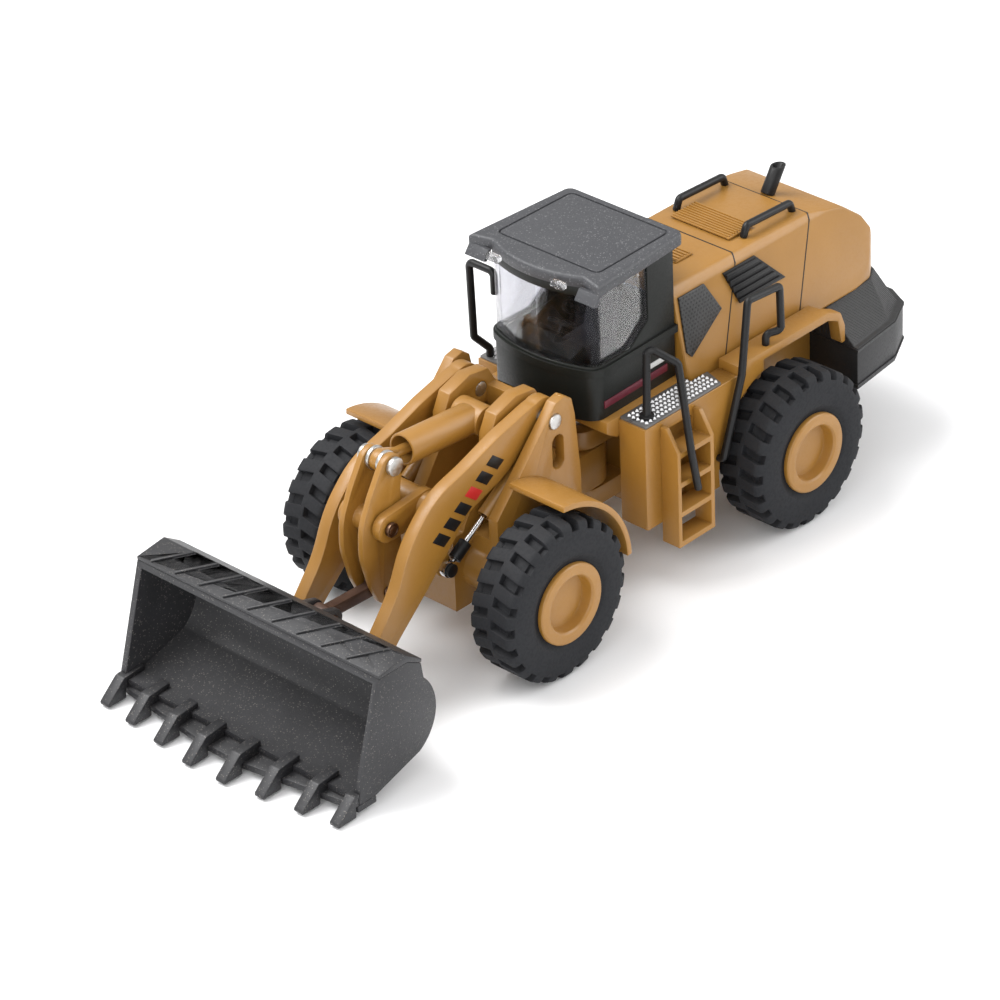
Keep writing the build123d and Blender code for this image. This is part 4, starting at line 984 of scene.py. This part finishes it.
@dataclass
class CrankPinHead:
    """Ringed head on each end of the crank's pin."""

    centre: tuple[float, float] = (46.45, 34.5)
    inner: float = 5.75
    depth: float = 0.85
    radius: float = 1.5
    ring: float = 0.3
    sunk: float = 0.25
    raised: float = 0.2
    rounding: float = 0.08

    def build(self, side: Side) -> bpy.types.Object:
        """Model the head with a sunk ring round its raised middle.

        Args:
            side: which end of the pin.

        Returns:
            The head.
        """
        y = side.value * (self.inner + self.depth / 2)
        deselect()
        bpy.ops.mesh.primitive_cylinder_add(vertices=32, radius=self.radius * MM, depth=self.depth * MM,
                                            location=(self.centre[0] * MM, y * MM, self.centre[1] * MM),
                                            rotation=(math.pi / 2, 0, 0))
        piece = bpy.context.object
        bake_place(piece)
        select_faces(piece, lambda face: face.normal.y * side.value > 0.9)
        bpy.ops.mesh.inset(thickness=self.ring * MM)
        bpy.ops.mesh.extrude_region_shrink_fatten(TRANSFORM_OT_shrink_fatten={"value": -self.sunk * MM})
        bpy.ops.mesh.inset(thickness=self.ring * MM)
        bpy.ops.mesh.extrude_region_shrink_fatten(TRANSFORM_OT_shrink_fatten={"value": self.raised * MM})
        close_edit()
        soften(piece, self.rounding)
        return hand_over(piece, f"crank_pin_head_{side.name.lower()}", PIN_BROWN, Body.ARMS)


# ---- tyres ---------------------------------------------------------------------------------------


@dataclass
class Tyre:
    """Broad off-road tyre: smooth sidewalls and two rows of slanted slots that break through the shoulder."""

    lugs: int = 22
    steps_per_lug: int = 7
    slot_depth: float = 1.5
    slant: float = 0.0115  # turn of the tread for each millimetre away from its middle, in radians
    crown: float = 0.5  # half-width of the unbroken band in the middle of the tread
    shoulder: float = 4.75  # where the slant ends
    slanted_from: float = 15.0  # radius above which the carcass follows the slant
    slots_from: float = 15.6  # radius above which a slot cuts the carcass
    slot_steps: int = 3
    rounding: float = 0.14
    rounding_angle: float = 34.0
    profile: tuple[tuple[float, float], ...] = (
        (8.35, 5.10), (9.3, 5.15), (10.1, 5.6), (10.5, 5.72), (12.5, 5.75), (14.4, 5.66), (15.4, 5.46),
        (16.1, 5.22), (16.6, 4.95), (16.9, 4.6), (17.0, 4.2), (17.0, 3.5), (17.0, 1.6), (17.0, 0.5),
    )

    def turn_of(self, offset: float) -> float:
        """How far the tread is turned at a distance from its middle, in radians."""
        return self.slant * (min(abs(offset), self.shoulder) - self.crown)

    def outline(self) -> list[Vector]:
        """The closed cross-section at the top of the tyre, in metres about its middle."""
        half = list(self.profile)
        points = half + [(r, -y) for r, y in reversed(half)]
        places = []
        for reach, offset in points + points[:1]:
            turn = self.turn_of(offset) if reach > self.slanted_from else self.turn_of(self.shoulder)
            places.append(Vector((reach * math.sin(turn), offset, reach * math.cos(turn))) * MM)
        return places

    def turn_section(self) -> bpy.types.Object:
        """Draw the cross-section by extruding one corner point and spin it round the axle.

        Returns:
            The closed carcass, about the origin.
        """
        points = self.outline()
        deselect()
        bpy.ops.mesh.primitive_plane_add(size=MM, location=points[0])
        piece = bpy.context.object
        bpy.ops.object.transform_apply(location=True, rotation=True, scale=True)
        bpy.ops.object.mode_set(mode="EDIT")
        bpy.ops.mesh.select_mode(type="VERT")
        bpy.ops.mesh.select_all(action="SELECT")
        bpy.ops.mesh.merge(type="CENTER")
        for start, end in zip(points, points[1:]):
            bpy.ops.mesh.extrude_region_move(TRANSFORM_OT_translate={"value": end - start})
        bpy.ops.mesh.select_all(action="SELECT")
        steps = self.lugs * self.steps_per_lug
        bpy.ops.mesh.spin(steps=steps, angle=2 * math.pi, center=(0, 0, 0), axis=(0, 1, 0))
        bpy.ops.mesh.select_all(action="SELECT")
        bpy.ops.mesh.remove_doubles(threshold=0.01 * MM)
        bpy.ops.mesh.normals_make_consistent(inside=False)
        bpy.ops.object.mode_set(mode="OBJECT")
        return piece

    def step_of(self, centre: Vector) -> int:
        """Which of its lug's steps a face lies on; the second row is half a lug behind the first."""
        offset = centre.y / MM
        angle = math.atan2(centre.x, centre.z) - self.turn_of(offset)
        step = 2 * math.pi / (self.lugs * self.steps_per_lug)
        shift = 0 if offset > 0 else self.steps_per_lug // 2
        return (math.floor(angle / step) + shift) % self.steps_per_lug

    def in_slot(self, face: bpy.types.MeshPolygon) -> bool:
        """Whether a face is part of a slot's floor."""
        reach = math.hypot(face.center.x, face.center.z) / MM
        offset = abs(face.center.y) / MM
        step = self.step_of(face.center)
        return reach > self.slots_from and offset > self.crown and step < self.slot_steps

    def model(self) -> bpy.types.Object:
        """Model one tyre about the origin.

        Returns:
            The finished shape.
        """
        piece = self.turn_section()
        select_faces(piece, self.in_slot)
        bpy.ops.mesh.extrude_region_shrink_fatten(TRANSFORM_OT_shrink_fatten={"value": -self.slot_depth * MM})
        close_edit()
        soften(piece, self.rounding, angle=self.rounding_angle)
        return piece

    def build(self) -> None:
        """Model one tyre, copy it to each end of both axles and drop the pattern."""
        pattern = self.model()
        for end, body in (("front", Body.FRONT_WHEELS), ("rear", Body.REAR_WHEELS)):
            for side in Side:
                node = f"{end}_{side.name.lower()}_tyre"
                piece = copy_of(pattern)
                piece.location = middle(node)
                bake_place(piece)
                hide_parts(node)
                hand_over(piece, f"{node}_tread", RUBBER, body)
        bpy.data.objects.remove(pattern)


# ---- running boards, grilles and markings --------------------------------------------------------


@dataclass
class StuddedBoard:
    """Rows of small pyramid studs on a running board beside the cab."""

    pitch: float = 1.15
    stud: float = 0.52
    height: float = 0.42
    margin: float = 0.45
    tip_share: float = 0.35
    inner: float = 15.8  # where the board starts, from the middle plane
    notch_front: float = 15.7  # behind the hitch, where the board gets narrower
    notch_inner: float = 17.9
    back: float = 19.0  # behind the hitch, where the board ends
    stud_angle: float = 20.0

    def build(self, side: Side) -> bpy.types.Object:
        """Model one stud, repeat it over the board and trim the rows to the board.

        Args:
            side: left or right board.

        Returns:
            The studs as one piece.
        """
        low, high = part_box("tread_plates")
        inner = self.inner * MM
        outer = high.y
        start = Vector((low.x + self.margin * MM, side.value * (inner + self.margin * MM), high.z))
        along = int((high.x - low.x) / MM / self.pitch) - 1
        across = int((outer - inner) / MM / self.pitch)
        deselect()
        bpy.ops.mesh.primitive_cone_add(
            vertices=4, radius1=self.stud * MM, radius2=self.stud * self.tip_share * MM,
            depth=self.height * MM,
            location=start + Vector((self.stud * MM, side.value * self.stud * MM, self.height / 2 * MM)),
        )
        piece = bpy.context.object
        bpy.ops.object.transform_apply(location=True, rotation=True, scale=True)
        for count, step in ((along, (self.pitch * MM, 0, 0)), (across, (0, side.value * self.pitch * MM, 0))):
            rows = piece.modifiers.new("rows", "ARRAY")
            rows.count = count
            rows.use_relative_offset = False
            rows.use_constant_offset = True
            rows.constant_offset_displace = step
        apply_all(piece)
        corner_x = HITCH.x - self.notch_front * MM
        select_faces(
            piece,
            lambda face: (face.center.x < corner_x and abs(face.center.y) < self.notch_inner * MM)
            or (face.center.x < HITCH.x - self.back * MM),
        )
        bpy.ops.mesh.delete(type="FACE")
        bpy.ops.mesh.select_all(action="SELECT")
        bpy.ops.mesh.delete_loose()
        close_edit()
        choose(piece)
        bpy.ops.object.shade_smooth_by_angle(angle=math.radians(self.stud_angle))
        return hand_over(piece, f"board_studs_{side.name.lower()}", CHECKER, Body.REAR)


@dataclass
class VentSlats:
    """Broad slats across a side vent of the hood."""

    count: int = 5
    lean: float = 12.4
    front: float = 33.0  # of the lowest slat, behind the hitch
    front_rise: float = 3.0  # how far the front moves forward up to the top
    back: float = 47.0
    back_rise: float = 7.0
    top_reach: float = 13.62  # from the middle plane at the top of the vent
    proud: float = 0.12
    end_gap: float = 0.8
    thickness: float = 0.5
    height: float = 0.85
    rounding: float = 0.15

    def build(self, side: Side) -> bpy.types.Object:
        """Lay the slats up the vent's slope.

        Args:
            side: left or right vent.

        Returns:
            The slats as one piece.
        """
        low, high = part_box("side_vents")
        parts = []
        for index in range(self.count):
            share = (index + 0.5) / self.count
            z = low.z + share * (high.z - low.z)
            front = HITCH.x - (self.front - self.front_rise * share) * MM
            back = HITCH.x - (self.back - self.back_rise * share) * MM
            y = side.value * (high.y - (high.y - self.top_reach * MM) * share + self.proud * MM)
            size = ((front - back) / MM - self.end_gap, self.thickness, self.height)
            bar = box_piece(((front + back) / 2, y, z), size, (side.value * self.lean, 0, 0))
            bake_place(bar)
            parts.append(bar)
        piece = join(parts)
        soften(piece, self.rounding)
        return hand_over(piece, f"vent_slats_{side.name.lower()}", SATIN_BLACK, Body.REAR)


@dataclass
class ArmMarking:
    """Row of plain slanted bars on the outside of a lift arm."""

    start: tuple[float, float] = (-1.6, 41.2)
    end: tuple[float, float] = (14.0, 31.0)
    bars: int = 6
    odd_one: int = 2
    height: float = 3.7
    width: float = 2.4
    slant: float = 1.2
    thickness: float = 0.12
    proud: float = 0.02
    rounding: float = 0.03

    def slanted_bar(self, centre: Vector, turn: float) -> bpy.types.Object:
        """Flat bar whose upper end leans forward.

        Args:
            centre: its middle, in metres.
            turn: its turn about Y, in radians.

        Returns:
            The bar, with its place in its mesh.
        """
        bar = box_piece((0, 0, 0), (self.width, self.thickness, self.height))
        select_faces(bar, lambda face: face.normal.z > 0.9)
        bpy.ops.transform.translate(value=(self.slant * MM, 0, 0))
        close_edit()
        bar.location = centre
        bar.rotation_euler = (0, turn, 0)
        bake_place(bar)
        return bar

    def build(self, side: Side) -> list[bpy.types.Object]:
        """Lay the bars along the arm.

        Args:
            side: left or right arm.

        Returns:
            The black bars as one piece and the red bar.
        """
        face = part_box("lift_arm_left")[1].y
        slope = math.atan2(self.end[1] - self.start[1], self.end[0] - self.start[0])
        black: list[bpy.types.Object] = []
        red: list[bpy.types.Object] = []
        for index in range(self.bars):
            share = index / (self.bars - 1)
            x = FRONT_AXLE.x + (self.start[0] + share * (self.end[0] - self.start[0])) * MM
            z = (self.start[1] + share * (self.end[1] - self.start[1])) * MM
            bar = self.slanted_bar(Vector((x, side.value * (face + self.proud * MM), z)), -slope)
            (red if index == self.odd_one else black).append(bar)
        made = []
        for parts, name, finish in ((black, "arm_bars", SATIN_BLACK), (red, "arm_red_bar", STRIPE_RED)):
            piece = join(parts)
            soften(piece, self.rounding)
            made.append(hand_over(piece, f"{name}_{side.name.lower()}", finish, Body.ARMS))
        return made


@dataclass
class CabStripe:
    """Plain stripe along the foot of the cab's side, with a short pale bar above it."""

    stripe_back: float = 3.2  # middle of the stripe, behind the hitch
    stripe_level: float = 41.2
    stripe_size: Point = (19.0, 0.5, 1.6)
    stripe_sunk: float = 0.22
    dash_back: float = 9.2
    dash_level: float = 43.6
    dash_size: Point = (5.2, 0.5, 1.1)
    dash_sunk: float = 0.36
    turn: float = 1.2
    rounding: float = 0.06

    def bar(self, side: Side, back: float, sunk: float, level: float, size: Point) -> bpy.types.Object:
        """Lay one bar on the cab's side, sunk into it.

        Args:
            side: left or right of the cab.
            back: its middle, behind the hitch, in millimetres.
            sunk: how far its middle lies inside the cab's side, in millimetres.
            level: its middle above the ground, in millimetres.
            size: its three sides, in millimetres.

        Returns:
            The bar.
        """
        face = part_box("cab_base")[1].y
        centre = (HITCH.x - back * MM, side.value * (face - sunk * MM), level * MM)
        piece = box_piece(centre, size, (0, 0, side.value * self.turn))
        bake_place(piece)
        soften(piece, self.rounding)
        return piece

    def build(self, side: Side) -> list[bpy.types.Object]:
        """Lay the stripe and the short pale bar above it.

        Args:
            side: left or right of the cab.

        Returns:
            The two pieces.
        """
        stripe = self.bar(side, self.stripe_back, self.stripe_sunk, self.stripe_level, self.stripe_size)
        dash = self.bar(side, self.dash_back, self.dash_sunk, self.dash_level, self.dash_size)
        label = side.name.lower()
        return [
            hand_over(stripe, f"cab_stripe_{label}", STRIPE_MAROON, Body.REAR),
            hand_over(dash, f"cab_dash_{label}", STRIPE_WHITE, Body.REAR),
        ]


# ---- studio --------------------------------------------------------------------------------------


@dataclass
class Studio:
    """Pale floor, soft lights and the camera."""

    azimuth: float = 0.7754
    elevation: float = 0.5528
    roll: float = -0.0449
    camera_place: Point = (0.6148, 0.5926, 0.5438)
    lens: float = 180.65
    sensor: float = 36.0
    nearest: float = 0.01
    farthest: float = 20.0
    sheet_size: float = 6.0
    sheet_drop: float = 0.0002  # keeps the sheet clear of the tyres' lowest points
    sky_strength: float = 0.62
    aim: Point = (0.0, 0.0, 0.02)

    def floor(self) -> None:
        """Lay a broad sheet that the model stands on."""
        deselect()
        bpy.ops.mesh.primitive_plane_add(size=self.sheet_size, location=(0, 0, -self.sheet_drop))
        sheet = bpy.context.object
        sheet.name = "studio_floor"
        sheet.data.materials.append(material_of(FLOOR))
        bake_place(sheet)

    def light(self, name: str, place: Point, size: float, power: float, colour: Colour = (1, 1, 1)) -> None:
        """Hang one soft square light that looks at the model.

        Args:
            name: the light's name.
            place: its middle, in metres.
            size: its side, in metres.
            power: its power in watts.
            colour: its colour.
        """
        data = bpy.data.lights.new(name, "AREA")
        data.size = size
        data.energy = power
        data.color = colour
        lamp = bpy.data.objects.new(name, data)
        bpy.context.scene.collection.objects.link(lamp)
        lamp.location = place
        lamp.rotation_mode = "QUATERNION"
        lamp.rotation_quaternion = (Vector(self.aim) - Vector(place)).to_track_quat("-Z", "Y")

    def sky(self) -> None:
        """Fill the room with even white light."""
        world = bpy.data.worlds.new("studio_air")
        world.use_nodes = True
        background = world.node_tree.nodes["Background"]
        background.inputs["Color"].default_value = (1.0, 1.0, 1.0, 1.0)
        background.inputs["Strength"].default_value = self.sky_strength
        bpy.context.scene.world = world

    def camera(self) -> None:
        """Set up the camera at the wanted angle."""
        back = Vector((
            math.cos(self.elevation) * math.cos(self.azimuth),
            math.cos(self.elevation) * math.sin(self.azimuth),
            math.sin(self.elevation),
        ))
        right = (-back).cross(Vector((0, 0, 1))).normalized()
        up = right.cross(-back)
        turned_right = right * math.cos(self.roll) + up * math.sin(self.roll)
        turned_up = up * math.cos(self.roll) - right * math.sin(self.roll)
        data = bpy.data.cameras.new("studio_camera")
        data.lens = self.lens
        data.sensor_width = self.sensor
        data.clip_start = self.nearest
        data.clip_end = self.farthest
        eye = bpy.data.objects.new("studio_camera", data)
        bpy.context.scene.collection.objects.link(eye)
        eye.matrix_world = Matrix((
            (turned_right.x, turned_up.x, back.x, self.camera_place[0]),
            (turned_right.y, turned_up.y, back.y, self.camera_place[1]),
            (turned_right.z, turned_up.z, back.z, self.camera_place[2]),
            (0, 0, 0, 1),
        ))
        bpy.context.scene.camera = eye

    def build(self) -> None:
        """Set up the whole studio."""
        self.floor()
        self.sky()
        self.light("key_light", (0.25, -0.35, 0.75), 0.6, 9.0)
        self.light("fill_light", (0.75, 0.35, 0.45), 0.9, 5.0)
        self.light("rim_light", (-0.55, 0.55, 0.5), 0.7, 5.0)
        self.camera()
        bpy.context.scene.view_settings.view_transform = "Standard"


def main() -> None:
    """Build every piece in order, then the studio."""
    logging.basicConfig(level=logging.INFO, format="%(name)s %(message)s")
    for casting in CASTINGS:
        casting.build()
    Tyre().build()
    for band in BANDS:
        band.build()
    CabMat().build()
    for side in Side:
        RodSleeve().build(side)
        CrankPinHead().build(side)
        StuddedBoard().build(side)
        VentSlats().build(side)
        ArmMarking().build(side)
        CabStripe().build(side)
    Studio().build()
    deselect()


if __name__ == "__main__":
    main()
